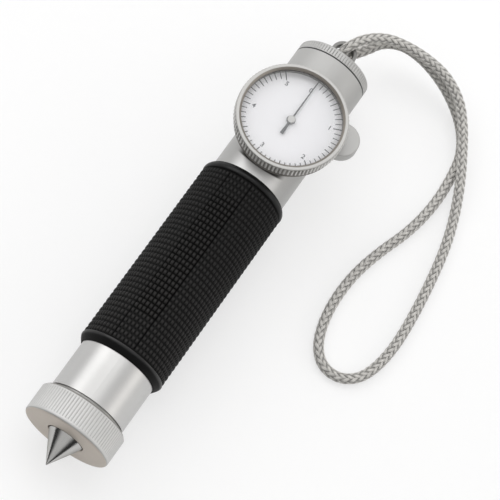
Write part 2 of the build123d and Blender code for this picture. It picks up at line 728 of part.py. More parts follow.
# Snap ring: wire in the case's groove that keeps the bezel on
with BuildPart() as bezel_snap_ring:
    with BuildSketch(DIAL_SECTION):
        with Locations((SNAP_RING_RADIUS, SNAP_HEIGHT)):
            Circle(SNAP_WIRE_RADIUS)
    revolve(axis=DIAL_AXIS)
keep(bezel_snap_ring, "bezel_snap_ring")

# Dial plate, spacer ring and window, stacked inside the bezel
with BuildPart() as dial_plate:
    turn_on_dial(disc(DIAL_HOLE_RADIUS, DISC_RADIUS, DIAL_BOTTOM, DIAL_TOP))
keep(dial_plate, "dial_plate")

with BuildPart() as crystal_spacer:
    turn_on_dial(disc(SPACER_BORE, DISC_RADIUS, DIAL_TOP, CRYSTAL_BOTTOM))
keep(crystal_spacer, "crystal_spacer")

with BuildPart() as crystal:
    turn_on_dial(disc(0, DISC_RADIUS, CRYSTAL_BOTTOM, BEZEL_LIP_BOTTOM))
keep(crystal, "crystal")

# Pointer: tapered needle towards the end cap, boss and widening tail
with BuildPart() as pointer:
    with BuildSketch(dial_plane(POINTER_BOTTOM)):
        with BuildLine():
            Polyline(
                (-TAIL_REACH, -TAIL_HALF_WIDTH),
                (0, -POINTER_HALF_WIDTH),
                (POINTER_REACH, -POINTER_TIP_HALF_WIDTH),
                (POINTER_REACH, POINTER_TIP_HALF_WIDTH),
                (0, POINTER_HALF_WIDTH),
                (-TAIL_REACH, TAIL_HALF_WIDTH),
                close=True,
            )
        make_face()
        Circle(POINTER_BOSS_RADIUS)
        Circle(ARBOR_RADIUS + PRESS_GAP, mode=Mode.SUBTRACT)
    extrude(amount=POINTER_TOP - POINTER_BOTTOM)
keep(pointer, "pointer")

# Pointer hub: cap on the arbor's end
with BuildPart() as pointer_hub:
    turn_on_dial(
        [
            (ARBOR_RADIUS + PRESS_GAP, POINTER_TOP),
            (HUB_RADIUS, POINTER_TOP),
            (HUB_RADIUS, HUB_TOP - HUB_CHAMFER),
            (HUB_RADIUS - HUB_CHAMFER, HUB_TOP),
            (0, HUB_TOP),
            (0, ARBOR_TOP),
            (ARBOR_RADIUS + PRESS_GAP, ARBOR_TOP),
        ]
    )
keep(pointer_hub, "pointer_hub")

# End cap: spigot in the tube, knurled rim and the lanyard eye
with BuildPart() as end_cap:
    turn_on_tool(
        [
            (SPIGOT_START, SPIGOT_BORE_RADIUS),
            (SPIGOT_FLOOR, SPIGOT_BORE_RADIUS),
            (SPIGOT_FLOOR, 0),
            (CAP_END, 0),
            (CAP_END, TUBE_RADIUS - CAP_CHAMFER),
            (CAP_KNURL_END, TUBE_RADIUS),
            (TUBE_END + GASKET_THICKNESS, TUBE_RADIUS),
            (TUBE_END + GASKET_THICKNESS, BUSH_RADIUS),
            (SPIGOT_START, BUSH_RADIUS),
        ]
    )
    with BuildSketch(Plane.XY.offset(-EYE_THICKNESS / 2)):
        with Locations(((SPIGOT_FLOOR + EYE_X) / 2, 0)):
            Rectangle(EYE_X - SPIGOT_FLOOR, 2 * EYE_RADIUS)
        with Locations((EYE_X, 0)):
            Circle(EYE_RADIUS)
            Circle(EYE_HOLE_RADIUS, mode=Mode.SUBTRACT)
    extrude(amount=EYE_THICKNESS)
    eye_faces = faces().filter_by(Axis.Z)
    fillet(eye_faces.edges().filter_by(lambda edge: edge.center().X > CAP_END + EYE_ROUND), EYE_ROUND)
keep(end_cap, "end_cap")

# Cap gasket: the thin dark line between tube and cap
with BuildPart() as cap_gasket:
    gasket_bore = BUSH_RADIUS + THREAD_GAP
    turn_on_tool(sleeve(TUBE_END, TUBE_END + GASKET_THICKNESS, gasket_bore, TUBE_RADIUS))
keep(cap_gasket, "cap_gasket")


def corner_radius(before, corner, after):
    """The largest arc that a corner of the cord's route has room for."""
    run_in = Vector(corner) - Vector(before)
    run_out = Vector(after) - Vector(corner)
    half_turn = radians(run_in.get_angle(run_out)) / 2
    return ARC_SHARE * min(run_in.length, run_out.length) / tan(half_turn)


# Wrist cord: a limp braided loop, round the outer bar of the eye and out on the table
cord_radii = [corner_radius(*CORD_ROUTE[i : i + 3]) for i in range(len(CORD_ROUTE) - 2)]
cord_radii[0] = EYE_TURN_RADIUS
cord_radii[-1] = EYE_TURN_RADIUS
with BuildPart() as wrist_cord:
    with BuildLine() as cord_line:
        FilletPolyline(*CORD_ROUTE, radius=cord_radii)
    with BuildSketch(Plane(origin=cord_line.line @ 0, z_dir=cord_line.line % 0)):
        Circle(CORD_RADIUS)
    sweep(path=cord_line.line)
keep(wrist_cord, "wrist_cord")
cord_length = sum(edge.length for edge in cord_line.edges())
print("cord arc radii", [round(radius, 1) for radius in cord_radii])
print("cord length", round(cord_length, 1), "volume", round(wrist_cord.part.volume, 1))
print("section times length", round(pi * CORD_RADIUS**2 * cord_length, 1))
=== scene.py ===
"""Looks of a hand-held fruit hardness tester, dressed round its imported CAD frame.

Lengths are in millimetres and become metres where Blender takes them.
"""
from math import atan2, cos, degrees, hypot, pi, radians, sin

import bpy
import numpy as np
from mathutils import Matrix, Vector


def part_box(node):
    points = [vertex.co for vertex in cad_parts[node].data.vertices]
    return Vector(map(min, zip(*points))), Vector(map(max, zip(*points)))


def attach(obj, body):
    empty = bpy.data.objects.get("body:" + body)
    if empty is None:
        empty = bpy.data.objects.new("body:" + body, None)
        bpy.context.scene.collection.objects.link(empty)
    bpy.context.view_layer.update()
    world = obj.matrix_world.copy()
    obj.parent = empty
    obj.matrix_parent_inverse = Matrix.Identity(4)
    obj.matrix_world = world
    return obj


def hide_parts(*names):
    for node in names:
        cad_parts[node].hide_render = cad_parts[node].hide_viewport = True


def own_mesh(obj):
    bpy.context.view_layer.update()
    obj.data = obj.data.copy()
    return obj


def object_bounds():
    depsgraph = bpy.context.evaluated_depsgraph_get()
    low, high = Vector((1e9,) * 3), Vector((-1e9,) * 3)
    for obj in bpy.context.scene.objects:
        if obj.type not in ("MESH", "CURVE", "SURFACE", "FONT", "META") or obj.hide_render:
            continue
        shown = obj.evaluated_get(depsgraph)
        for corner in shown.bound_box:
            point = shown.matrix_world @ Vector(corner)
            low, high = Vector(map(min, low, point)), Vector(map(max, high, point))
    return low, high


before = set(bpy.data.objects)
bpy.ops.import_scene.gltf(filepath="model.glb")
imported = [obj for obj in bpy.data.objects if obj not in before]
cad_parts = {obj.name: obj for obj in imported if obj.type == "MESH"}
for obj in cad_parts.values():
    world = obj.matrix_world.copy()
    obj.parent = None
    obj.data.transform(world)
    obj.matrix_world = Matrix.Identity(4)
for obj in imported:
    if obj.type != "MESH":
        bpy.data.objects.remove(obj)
cad_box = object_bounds()

MM = 0.001

# Shared by the turned pieces
NEAR = 0.01  # how near a point has to be to count as on a line
MERGE_DISTANCE = 0.001
TOOTH_LINES = 4  # lines of points in each tooth
EDGE_BREAK = 0.05  # a sharp edge's small flat

# Camera, from the ring, tube, grip, bezel and cap seen in the photograph
CAMERA_PLACE = (-161.92, -46.77, 645.70)
CAMERA_TURN_DEG = (18.889, -9.364, -56.579)
CAMERA_LENS = 158.6
SENSOR_WIDTH = 36.0


def box_mm(node):
    """Lowest and highest corner of a CAD node, in millimetres."""
    low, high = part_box(node)
    return Vector(low) / MM, Vector(high) / MM


GRIP_LOW, GRIP_HIGH = box_mm("grip_sleeve")
BEZEL_LOW, BEZEL_HIGH = box_mm("bezel")
CAP_LOW, CAP_HIGH = box_mm("end_cap")
SPRING_LOW, SPRING_HIGH = box_mm("measuring_spring")
RING_HIGH = box_mm("contact_ring")[1]
GASKET_END = box_mm("cap_gasket")[1].x
TUBE_RADIUS = box_mm("barrel_tube")[1].y
DIAL_X = (BEZEL_LOW.x + BEZEL_HIGH.x) / 2
DIAL_TOP = box_mm("dial_plate")[1].z

# Measuring spring
SPRING_WIRE_RADIUS = 0.9
SPRING_RADIUS = SPRING_HIGH.z - SPRING_WIRE_RADIUS
SPRING_TURNS = 9.5
SPRING_STEPS = 228

# Contact ring
RING_RADIUS = RING_HIGH.z
RING_FRONT_ROUND = 1.0
RING_BACK_CHAMFER = 0.7
RING_HOLE_RADIUS = 6.3
RING_HOLE_EDGE = 0.15
RING_FACE_DEPTH = 2.5
RING_BORE_RADIUS = 12.45
RING_TEETH = 90
RING_GROOVE_DEPTH = 0.2

# Grip
GRIP_RADIUS = GRIP_HIGH.z
GRIP_BORE_RADIUS = 13.05
GRIP_BEAD = 2.8
GRIP_TIP_BEAD = (
    (2.9, -0.45), (2.85, -0.1), (2.75, 0.05), (2.58, 0.1), (2.36, 0.07), (2.04, -0.07),
    (1.6, -0.32), (1.05, -0.7), (0.52, -1.08), (0.2, -1.32), (0.06, -1.46), (0.0, -1.58),
)
GRIP_DIAL_BEAD = (
    (2.85, -0.45), (2.74, -0.14), (2.54, 0.0), (2.24, 0.08), (1.92, 0.1), (1.55, 0.05),
    (1.15, -0.1), (0.75, -0.34), (0.4, -0.62), (0.15, -0.88), (0.04, -1.06), (0.0, -1.2),
)
GRIP_BEAD_GAP = 0.35
GRIP_ROWS = 34
GRIP_CELLS = 66
GRIP_GROOVE_DEPTH = 0.6
GRIP_SHOULDER_DROP = 0.16
GRIP_FLANK_HEIGHT = 0.62  # of the groove's depth
GRIP_FLANK_AT, GRIP_TOP_AT = 0.17, 0.36  # of a row's length
PANEL_ROWS = (6, 30)
PANEL_CELLS = (12, 18)
PANEL_RISE = 0.2
PANEL_BORDER_DEPTH = 0.25

# Bezel
BEZEL_RADIUS = BEZEL_HIGH.y
BEZEL_TEETH = 92
BEZEL_GROOVE_DEPTH = 0.42
BEZEL_BODY_RADIUS = 17.95
BEZEL_FOOT_RADIUS = 17.65
BEZEL_FOOT_TOP = 15.6
BEZEL_SKIRT_BORE = 17.15
BEZEL_SEAT_BORE = 17.05
BEZEL_LIP_BORE = 16.2
BEZEL_LIP_HEIGHT = 18.9
BEZEL_LIP_TOP = 19.5
BEZEL_RIM_ROUND = 0.25
BEZEL_RIM_INNER = 16.9
BEZEL_SKIRT_TOP = 16.0
BEZEL_SNAP_GROOVE = (14.2, 15.0)
BEZEL_SNAP_DEPTH = 0.15

# End cap and its eye
CAP_TEETH = 80
CAP_GROOVE_DEPTH = 0.22
CAP_FACE = 152.6
CAP_EDGE_ROUND = 0.6
SPIGOT_RADIUS = 10.15
SPIGOT_BORE_RADIUS = 8.8
SPIGOT_FLOOR = 150.5
EYE_X = 158.0
EYE_RADIUS = CAP_HIGH.x - EYE_X
EYE_HOLE_RADIUS = 3.3
EYE_THICKNESS = 3.0
EYE_SIDES = 72
EYE_ROUND = 0.4
EYE_ROOT = 151.8

# Printed scale: five units clockwise from the pointer's rest
DIAL_EDGE_SHADE = (14.2, 15.6)
SCALE_UNITS = 5
UNIT_DEG = 64.3
TENTHS = 10
TICK_OUTER = 16.38
TICK_LENGTHS = {"tenth": 2.1, "half": 2.4, "unit": 2.7}
TICK_WIDTHS = {"tenth": 0.29, "half": 0.31, "unit": 0.34}
INK_THICKNESS = 0.02
NUMERAL_RADIUS = 12.5
NUMERAL_SIZE = 2.25
NUMERAL_BOLD = 0.045
ZERO_SHIFT_DEG = 1.8

# Wrist cord, the same route as the solid's
CORD_ROUTE = (
    (158.5, 0.5, 0.4), (158.5, 0.5, 3.6), (165.3, -2.5, 3.4), (170.8, -8.2, 2.6),
    (173.4, -15.8, 1.2), (174.8, -23.8, -1.0), (174.8, -31.8, -3.6), (171.6, -39.9, -6.8),
    (164.8, -46.0, -9.0), (156.8, -50.6, -9.2), (149.2, -54.9, -10.2), (140.0, -59.4, -13.0),
    (128.4, -63.0, -13.2), (114.0, -65.4, -13.2), (100.0, -66.9, -13.2), (88.8, -67.3, -13.2),
    (79.6, -66.0, -13.2), (73.6, -63.4, -13.2), (70.0, -58.8, -13.2), (69.6, -53.1, -13.2),
    (72.5, -48.4, -13.2), (78.6, -45.0, -13.2), (88.6, -43.0, -13.2), (100.4, -43.2, -13.2),
    (112.0, -45.7, -13.2), (125.4, -50.4, -13.2), (138.4, -52.3, -13.2), (149.6, -51.8, -13.2),
    (159.0, -50.2, -13.2), (166.8, -45.2, -13.2), (171.8, -37.8, -10.6), (174.4, -29.8, -7.2),
    (175.5, -21.6, -4.5), (174.9, -14.0, -3.0), (171.2, -7.8, -2.9), (165.2, -4.7, -3.5),
    (158.5, 0.5, -3.6), (158.5, 0.5, -0.4),
)
CORD_CORE_RADIUS = 1.3
YARNS_EACH_WAY = 8
YARN_LAY = 19.6
YARN_CIRCLE = 1.36
YARN_WAVE = 0.22
YARN_HALF_WIDTH = 0.48
YARN_HALF_THICKNESS = 0.22
YARN_SIDES = 6
YARN_STEP = 0.32
YARN_DIVE_WAVE = 0.35
YARN_TOP_WAVE = 1.0
YARN_RISE_SHADE = 0.35
YARN_SHADES = (1.0, 0.88, 0.95, 0.84, 1.0, 0.92, 0.86, 0.97)

# Studio, in metres
FLOOR_SIZE = 8.0
FLOOR_WHITE_SHARE = 0.6
CARD_SIDES = 64
CARD_RADIUS = 1.2
CARD_HEIGHT = 2.0
CARD_BLACK_HEIGHT = 0.4
CARD_GREY_HEIGHT = 0.95
CARD_EDGE = -0.5
WORLD_LEVEL = 0.74
LAMP_AIM = (0.07, 0.0, 0.0)
LAMPS = {
    "key_softbox": {"place": (0.4, 0.78, 0.71), "size": (1.1, 0.66), "radiance": 1.55},
    "top_softbox": {"place": (0.62, 0.08, 1.15), "size": (0.9, 0.7), "radiance": 1.4},
    "side_softbox": {
        "place": (0.4, -1.0, 0.47), "size": (1.2, 0.4), "radiance": 1.25, "colour": (1.0, 0.97, 0.93),
    },
}

# Finishes: noise scales are per metre
FINE_GRAIN = 5200
SOFT_CLOUD = 70
SATIN_COLOURS = ((0.43, 0.427, 0.418), (0.5, 0.497, 0.487))
# Colour of the painted shadow on the tube under the bezel's edge
BEZEL_SHADOW_PAINT = (0.05, 0.047, 0.043)


class Spindle:
    """An axis that pieces are turned on: a point on it, its direction, and a circle's turn to face it."""

    def __init__(self, foot, along, turn):
        self.foot = Vector(foot)
        self.along = Vector(along)
        self.turn = turn

    def place(self, along):
        """A point on the axis, in metres."""
        return (self.foot + self.along * along) * MM

    def sized(self, share):
        """A scale that changes the radius alone."""
        return [1.0 if part else share for part in self.along]

    def read(self, point):
        """How far along the axis a point in millimetres is, its radius and its angle."""
        local = point - self.foot
        if self.along.x:
            return local.x, hypot(local.y, local.z), atan2(local.z, local.y)
        return local.z, hypot(local.x, local.y), atan2(local.y, local.x)


TOOL = Spindle((0, 0, 0), (1, 0, 0), (0, pi / 2, 0))
DIAL = Spindle((DIAL_X, 0, 0), (0, 0, 1), (0, 0, 0))


def rest_selection():
    """Object mode with nothing selected, so that the next operator acts on its own piece alone."""
    if bpy.context.mode != "OBJECT":
        bpy.ops.object.mode_set(mode="OBJECT")
    bpy.ops.object.select_all(action="DESELECT")


def work_on(piece):
    """Selects one piece and makes it active."""
    rest_selection()
    piece.select_set(True)
    bpy.context.view_layer.objects.active = piece


def new_piece(name):
    """Names the primitive that was just added and puts its place into its mesh."""
    piece = bpy.context.object
    piece.name = name
    piece.data.name = name
    bpy.ops.object.transform_apply(location=True, rotation=True, scale=True)
    return piece


def edit_all(piece):
    """Edit mode on one piece, with all of it selected."""
    work_on(piece)
    bpy.ops.object.mode_set(mode="EDIT")
    bpy.ops.mesh.select_all(action="SELECT")


def leave_edit():
    """Back to object mode."""
    bpy.ops.object.mode_set(mode="OBJECT")


def extrude(step):
    """Extrudes what is selected by a step in metres."""
    bpy.ops.mesh.extrude_region_move(TRANSFORM_OT_translate={"value": step})


def face_outwards():
    """Selects the whole piece that is being edited and turns its faces outwards."""
    bpy.ops.mesh.select_all(action="SELECT")
    bpy.ops.mesh.normals_make_consistent(inside=False)


def select_points(piece, wanted):
    """Leaves a piece in edit mode with the points selected whose place in millimetres is wanted."""
    work_on(piece)
    for elements in (piece.data.vertices, piece.data.edges, piece.data.polygons):
        elements.foreach_set("select", [False] * len(elements))
    for point in piece.data.vertices:
        point.select = wanted(point.co / MM)
    bpy.ops.object.mode_set(mode="EDIT")


def apply_modifier(piece, kind, **settings):
    """Adds a modifier to a piece and applies it."""
    work_on(piece)
    bpy.ops.object.modifier_add(type=kind)
    modifier = piece.modifiers[-1]
    for name, value in settings.items():
        setattr(modifier, name, value)
    bpy.ops.object.modifier_apply(modifier=modifier.name)


def arc(centre, radius, start, end, steps=6):
    """Points of a rounded edge in a section, between two angles in degrees."""
    angles = [radians(start + (end - start) * step / steps) for step in range(steps + 1)]
    return [(centre[0] + radius * cos(angle), centre[1] + radius * sin(angle)) for angle in angles]


def pull(spindle, here, stations):
    """Extrudes the selected loop of points from here, (along, radius), through the next stations."""
    start, radius = here
    for along, next_radius in stations:
        extrude(spindle.along * (along - start) * MM)
        bpy.ops.transform.resize(
            value=spindle.sized(next_radius / radius), center_override=spindle.place(along)
        )
        start, radius = along, next_radius


def close_skin(piece):
    """Merges the seam, fills any open end and turns the faces outwards."""
    edit_all(piece)
    bpy.ops.mesh.remove_doubles(threshold=MERGE_DISTANCE * MM)
    bpy.ops.mesh.fill_holes(sides=0)
    face_outwards()
    leave_edit()


def turned(name, sides, section, spindle):
    """Turns a section, a list of (along, radius), on a spindle."""
    rest_selection()
    start, radius = section[0]
    bpy.ops.mesh.primitive_circle_add(
        vertices=sides, radius=radius * MM, fill_type="NOTHING",
        location=spindle.place(start), rotation=spindle.turn,
    )
    piece = new_piece(name)
    edit_all(piece)
    pull(spindle, section[0], section[1:])
    leave_edit()
    return piece


def press(piece, spindle, wanted, share):
    """Scales the radius of the points that are wanted."""
    select_points(piece, wanted)
    bpy.ops.transform.resize(value=spindle.sized(share), center_override=spindle.place(0))
    leave_edit()


def press_lines(piece, spindle, teeth, chosen, stretch, old_radius, new_radius):
    """Moves whole lines of points on a turned surface to another radius, to cut its teeth.

    Chosen says which of a tooth's lines move, and stretch is where along the axis they do.
    """
    low, high = stretch

    def on_line(point):
        along, radius, angle = spindle.read(point)
        line = round(angle / (2 * pi) * teeth * TOOTH_LINES) % TOOTH_LINES
        return low < along < high and abs(radius - old_radius) < NEAR and line in chosen

    press(piece, spindle, on_line, new_radius / old_radius)


def smooth(piece, angle):
    """Smooth shading that keeps edges sharper than an angle in degrees."""
    work_on(piece)
    bpy.ops.object.shade_smooth_by_angle(angle=radians(angle))


def finish_piece(piece, body, material, replaces=()):
    """Gives a new piece its material and its body, and hides the CAD nodes that it stands for."""
    piece.data.materials.clear()
    piece.data.materials.append(material)
    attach(piece, body)
    if replaces:
        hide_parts(*replaces)


class Value:
    """A shader value: sums on it add Math nodes to its finish."""

    def __init__(self, finish, socket):
        self.finish = finish
        self.socket = socket

    def _math(self, operation, first, second):
        return self.finish.node("ShaderNodeMath", {"operation": operation}, {0: first, 1: second})

    def __add__(self, other):
        return self._math("ADD", self, other)

    def __sub__(self, other):
        return self._math("SUBTRACT", self, other)

    def __rsub__(self, other):
        return self._math("SUBTRACT", other, self)

    def __mul__(self, other):
        return self._math("MULTIPLY", self, other)

    def __truediv__(self, other):
        return self._math("DIVIDE", self, other)

    def __pow__(self, other):
        return self._math("POWER", self, other)

    __radd__ = __add__
    __rmul__ = __mul__


class Finish:
    """A material with one Principled surface, and the nodes that feed it."""

    def __init__(self, name, constants):
        self.material = bpy.data.materials.new(name)
        self.material.use_nodes = True
        self.tree = self.material.node_tree
        self.surface = self.tree.nodes["Principled BSDF"]
        for socket, value in constants.items():
            self.surface.inputs[socket].default_value = value

    def node(self, kind, settings=None, sockets=None, output=0):
        """Adds a node: its settings are set first, then its sockets get values or links."""
        added = self.tree.nodes.new(kind)
        for name, value in (settings or {}).items():
            setattr(added, name, value)
        for name, value in (sockets or {}).items():
            if isinstance(value, Value):
                self.tree.links.new(value.socket, added.inputs[name])
            else:
                added.inputs[name].default_value = value
        return Value(self, added.outputs[output])

    def feed(self, socket, value):
        """Links a value to a socket of the surface."""
        self.tree.links.new(value.socket, self.surface.inputs[socket])

    def place(self):
        """Where a point is in the tool's own frame, in metres."""
        return self.node("ShaderNodeTexCoord", output="Object")

    def parts(self, vector):
        """The three parts of a vector."""
        return [self.node("ShaderNodeSeparateXYZ", {}, {0: vector}, axis) for axis in "XYZ"]

    def stretched(self, vector, amounts):
        """A vector with each part multiplied."""
        return self.node("ShaderNodeVectorMath", {"operation": "MULTIPLY"}, {0: vector, 1: amounts})

    def noise(self, vector, scale, detail=2.0, roughness=0.5):
        """Noise about 0.5."""
        sockets = {"Vector": vector, "Scale": scale, "Detail": detail, "Roughness": roughness}
        return self.node("ShaderNodeTexNoise", {}, sockets, "Fac")

    def between(self, value, low, high):
        """0 below low, 1 above high, and smooth between."""
        sockets = {"Value": value, "From Min": low, "From Max": high}
        return self.node("ShaderNodeMapRange", {"interpolation_type": "SMOOTHSTEP"}, sockets)

    def mixed(self, share, first, second):
        """Two colours mixed."""
        colours = [c if isinstance(c, Value) else (*c, 1.0) for c in (first, second)]
        settings = {"data_type": "RGBA"}
        return self.node("ShaderNodeMix", settings, {0: share, 6: colours[0], 7: colours[1]}, 2)

    def lifted(self, share, colour, lift=1.12):
        """A colour that goes up to a brighter one of the same hue."""
        return self.mixed(share, colour, [part * lift for part in colour])

    def bump(self, height, strength, distance):
        """Links a height to the surface's normal; distance is in millimetres."""
        sockets = {"Height": height, "Strength": strength, "Distance": distance * MM}
        self.feed("Normal", self.node("ShaderNodeBump", {}, sockets, "Normal"))

    def radius(self, spindle):
        """Distance from a spindle's axis, in millimetres."""
        x, y, z = self.parts(self.place())
        if spindle.along.x:
            first, second = y, z
        else:
            first, second = x - spindle.foot.x * MM, y
        return (first * first + second * second) ** 0.5 / MM


def satin_aluminium():
    """Fine-blasted anodised aluminium, with a soft cloudiness and slight handling marks."""
    finish = Finish("satin_aluminium", {"Metallic": 1.0})
    place = finish.place()
    grain = finish.noise(place, FINE_GRAIN, 3)
    cloud = finish.noise(place, SOFT_CLOUD, 3)
    finish.feed("Base Color", finish.mixed(cloud, *SATIN_COLOURS))
    finish.feed("Roughness", 0.5 + 0.1 * cloud + 0.08 * (grain - 0.5))
    finish.bump(grain, 0.12, 0.02)
    return finish.material


def tube_aluminium():
    """The barrel: turned bright up to the dial case and satin past it.

    Between grip and bezel its top is painted lighter and its flanks darker, as painted light; under the
    bezel's edge it carries a painted shadow; the nose in the groove behind the ring and the bore are painted
    dark, as shade.
    """
    finish = Finish("tube_aluminium", {})
    place = finish.place()
    along, across, height = [part / MM for part in finish.parts(place)]
    above_grip = finish.between(along, GRIP_LOW.x, GRIP_LOW.x + 5.0)
    flank = finish.between(across * across, 4.0, 85.0)
    # Painted shadow: the tube's top under the bezel's edge is coloured dark where the bezel's shadow falls
    painted_bezel_shadow = 1 - finish.between(finish.radius(DIAL), BEZEL_RADIUS - 0.7, BEZEL_RADIUS - 0.2)
    painted_bezel_shadow = painted_bezel_shadow * finish.between(height, TUBE_RADIUS - 3.5, TUBE_RADIUS - 1.5)
    satin = finish.between(along, DIAL_X - 10.0, DIAL_X - 5.0)
    grain = finish.noise(place, FINE_GRAIN, 3)
    turning = finish.noise(finish.stretched(place, (1.0, 0.02, 0.02)), 3600, 3)
    cloud = finish.noise(place, SOFT_CLOUD, 3)
    lower = finish.mixed(cloud, (0.51, 0.506, 0.498), (0.58, 0.576, 0.568))
    # Painted light: the strip between grip and bezel is coloured brighter on top and darker on its flanks;
    # this is not wear
    rubbed = finish.mixed(cloud, (0.66, 0.655, 0.645), (0.74, 0.735, 0.725))
    painted_light_strip = finish.mixed(flank, rubbed, finish.mixed(cloud, (0.4, 0.396, 0.388), (0.46, 0.456, 0.448)))
    upper = finish.mixed(cloud, *SATIN_COLOURS)
    # Painted shade: inside the outer skin, the nose in the groove behind the ring and the bore are coloured
    # dark
    outside = finish.between(finish.radius(TOOL), TUBE_RADIUS - 0.8, TUBE_RADIUS - 0.3)
    skin = finish.mixed(satin, finish.mixed(above_grip, lower, painted_light_strip), upper)
    skin = finish.mixed(painted_bezel_shadow, skin, BEZEL_SHADOW_PAINT)
    finish.feed("Base Color", finish.mixed(outside, (0.21, 0.204, 0.194), skin))
    bright = 0.36 + 0.08 * turning
    matt = 0.5 + 0.1 * cloud + 0.06 * (grain - 0.5)
    finish.feed("Roughness", bright + satin * (matt - bright))
    finish.feed("Metallic", 1 - 0.5 * above_grip)
    finish.bump(turning * (1 - satin) + grain * satin, 0.1, 0.02)
    return finish.material


def knurled_aluminium(name, spindle, cut, colours, roughness, inside=None, zones=()):
    """Aluminium with cut teeth: bright worn crests over grooves painted darker as shade, and a turned face.

    Cut is the crests' radius and the grooves' depth, and colours are those of groove, crest and face.
    Zones are colours with where along the axis they start and end, and inside is one with its radius:
    painted shade on the surface within that radius.
    """
    finish = Finish(name, {"Metallic": 0.6})
    place = finish.place()
    grain = finish.noise(place, FINE_GRAIN, 3)
    cloud = finish.noise(place, 90, 3)
    radius = finish.radius(spindle)
    crest, depth = cut
    # The groove colour is painted shade in the teeth's hollows; the crests are lighter from wear
    groove, top, face = [finish.lifted(cloud, colour) for colour in colours]
    height = finish.between(radius, crest - depth, crest - 0.15 * depth)
    toothed = finish.between(radius, crest - 1.5 * depth, crest - 1.15 * depth)
    skin = finish.mixed(toothed, face, finish.mixed(height, groove, top))
    along = finish.parts(place)[0 if spindle.along.x else 2] / MM
    for colour, start, end in zones:
        there = finish.between(along, start - 0.1, start + 0.1)
        there = there * (1 - finish.between(along, end - 0.1, end + 0.1))
        skin = finish.mixed(there, skin, finish.lifted(cloud, colour))
    # Painted shade: the surface within the inner radius is coloured dark
    if inside:
        colour, limit = inside
        outer = finish.between(radius, limit - 0.06, limit)
        skin = finish.mixed(outer, finish.lifted(grain, colour, 1.7), skin)
    finish.feed("Base Color", skin)
    finish.feed("Roughness", roughness - 0.05 * height + 0.1 * (grain - 0.5))
    finish.bump(grain, 0.12, 0.02)
    return finish.material


def grip_rubber():
    """Black moulded grip: rubbed tops over dull gaps, and a shiny ridge on the bead at each end."""
    finish = Finish("grip_rubber", {"Specular IOR Level": 0.16, "Coat Roughness": 0.3, "Coat IOR": 2.0})
    place = finish.place()
    along = finish.parts(place)[0] / MM
    radius = finish.radius(TOOL)
    top = finish.between(radius, GRIP_RADIUS - 0.8 * GRIP_GROOVE_DEPTH, GRIP_RADIUS)
    ridge = finish.between(radius, GRIP_RADIUS - 0.3, GRIP_RADIUS + 0.08)
    from_middle = along - (GRIP_LOW.x + GRIP_HIGH.x) / 2
    half_bumps = (GRIP_HIGH.x - GRIP_LOW.x) / 2 - GRIP_BEAD
    bead = finish.between(from_middle * from_middle, half_bumps ** 2 - 2.0, half_bumps ** 2 + 6.0)
    grain = finish.noise(place, 4200, 3)
    rubbed = finish.noise(place, 55, 3)
    fading = 1 - 0.6 * finish.between(along, GRIP_LOW.x + 10.0, GRIP_HIGH.x)
    handled = top * fading
    dark = finish.mixed(handled, (0.003, 0.0029, 0.0028), (0.0125, 0.012, 0.0114))
    worn = finish.mixed(rubbed * handled * 0.6, dark, (0.024, 0.0228, 0.0217))
    finish.feed("Base Color", finish.mixed(bead, worn, (0.003, 0.003, 0.003)))
    finish.feed("Roughness", 0.62 - 0.16 * top + 0.14 * (grain - 0.5) + 0.1 * (0.5 - rubbed))
    finish.feed("Coat Weight", bead * ridge * fading * (0.08 + 0.4 * rubbed) + (1 - bead) * top * 0.04)
    finish.bump(grain * (1 - bead), 0.25, 0.03)
    return finish.material


def grained(name, constants, scale, colours, roughness, bump=None, stretch=(1.0, 1.0, 1.0)):
    """A finish of one noise, which mixes two colours and varies the roughness.

    Roughness is its middle and its swing, and bump is a strength with a depth in millimetres.
    """
    finish = Finish(name, constants)
    grain = finish.noise(finish.stretched(finish.place(), stretch), scale, 3)
    finish.feed("Base Color", finish.mixed(grain, *colours))
    middle, swing = roughness
    finish.feed("Roughness", middle + swing * (grain - 0.5))
    if bump:
        finish.bump(grain, *bump)
    return finish.material


def plain_rubber():
    """Black rubber of the gasket and brake pad."""
    colours = ((0.012, 0.012, 0.012), (0.03, 0.03, 0.03))
    return grained("plain_rubber", {"Specular IOR Level": 0.4}, 3000, colours, (0.6, 0.2), (0.2, 0.03))


def polished_steel():
    """Ground and polished steel of the cone and rod, with faint rings from the wheel."""
    finish = Finish("polished_steel", {"Metallic": 1.0, "Specular Tint": (0.5, 0.49, 0.47, 1.0)})
    place = finish.place()
    rings = finish.noise(finish.stretched(place, (1.0, 0.01, 0.01)), 5200, 4)
    cloud = finish.noise(place, 140, 3)
    finish.feed("Base Color", finish.mixed(cloud, (0.47, 0.466, 0.454), (0.54, 0.536, 0.524)))
    finish.feed("Roughness", 0.14 + 0.08 * rings)
    finish.bump(rings, 0.08, 0.01)
    return finish.material


def steel(name, low, high, roughness, scale):
    """Turned, drawn or plated steel of the inner pieces."""
    stretch = (1.0, 0.05, 0.4)
    return grained(name, {"Metallic": 1.0}, scale, (low, high), (roughness, 0.12), (0.15, 0.01), stretch)


def brass():
    """Machined brass of bushes, rack, pinion and movement plates."""
    finish = Finish("machined_brass", {"Metallic": 1.0})
    place = finish.place()
    lines = finish.noise(finish.stretched(place, (0.2, 1.0, 0.05)), 4200, 3)
    cloud = finish.noise(place, 160, 3)
    finish.feed("Base Color", finish.mixed(cloud, (0.63, 0.45, 0.19), (0.78, 0.6, 0.3)))
    finish.feed("Roughness", 0.24 + 0.14 * lines)
    finish.bump(lines, 0.12, 0.01)
    return finish.material


def guide_plastic():
    """Moulded plastic of the rack's guide, with a fine spark-eroded texture."""
    colours = ((0.68, 0.67, 0.63), (0.78, 0.77, 0.73))
    return grained("guide_plastic", {"Specular IOR Level": 0.45}, 3600, colours, (0.5, 0.14), (0.12, 0.02))


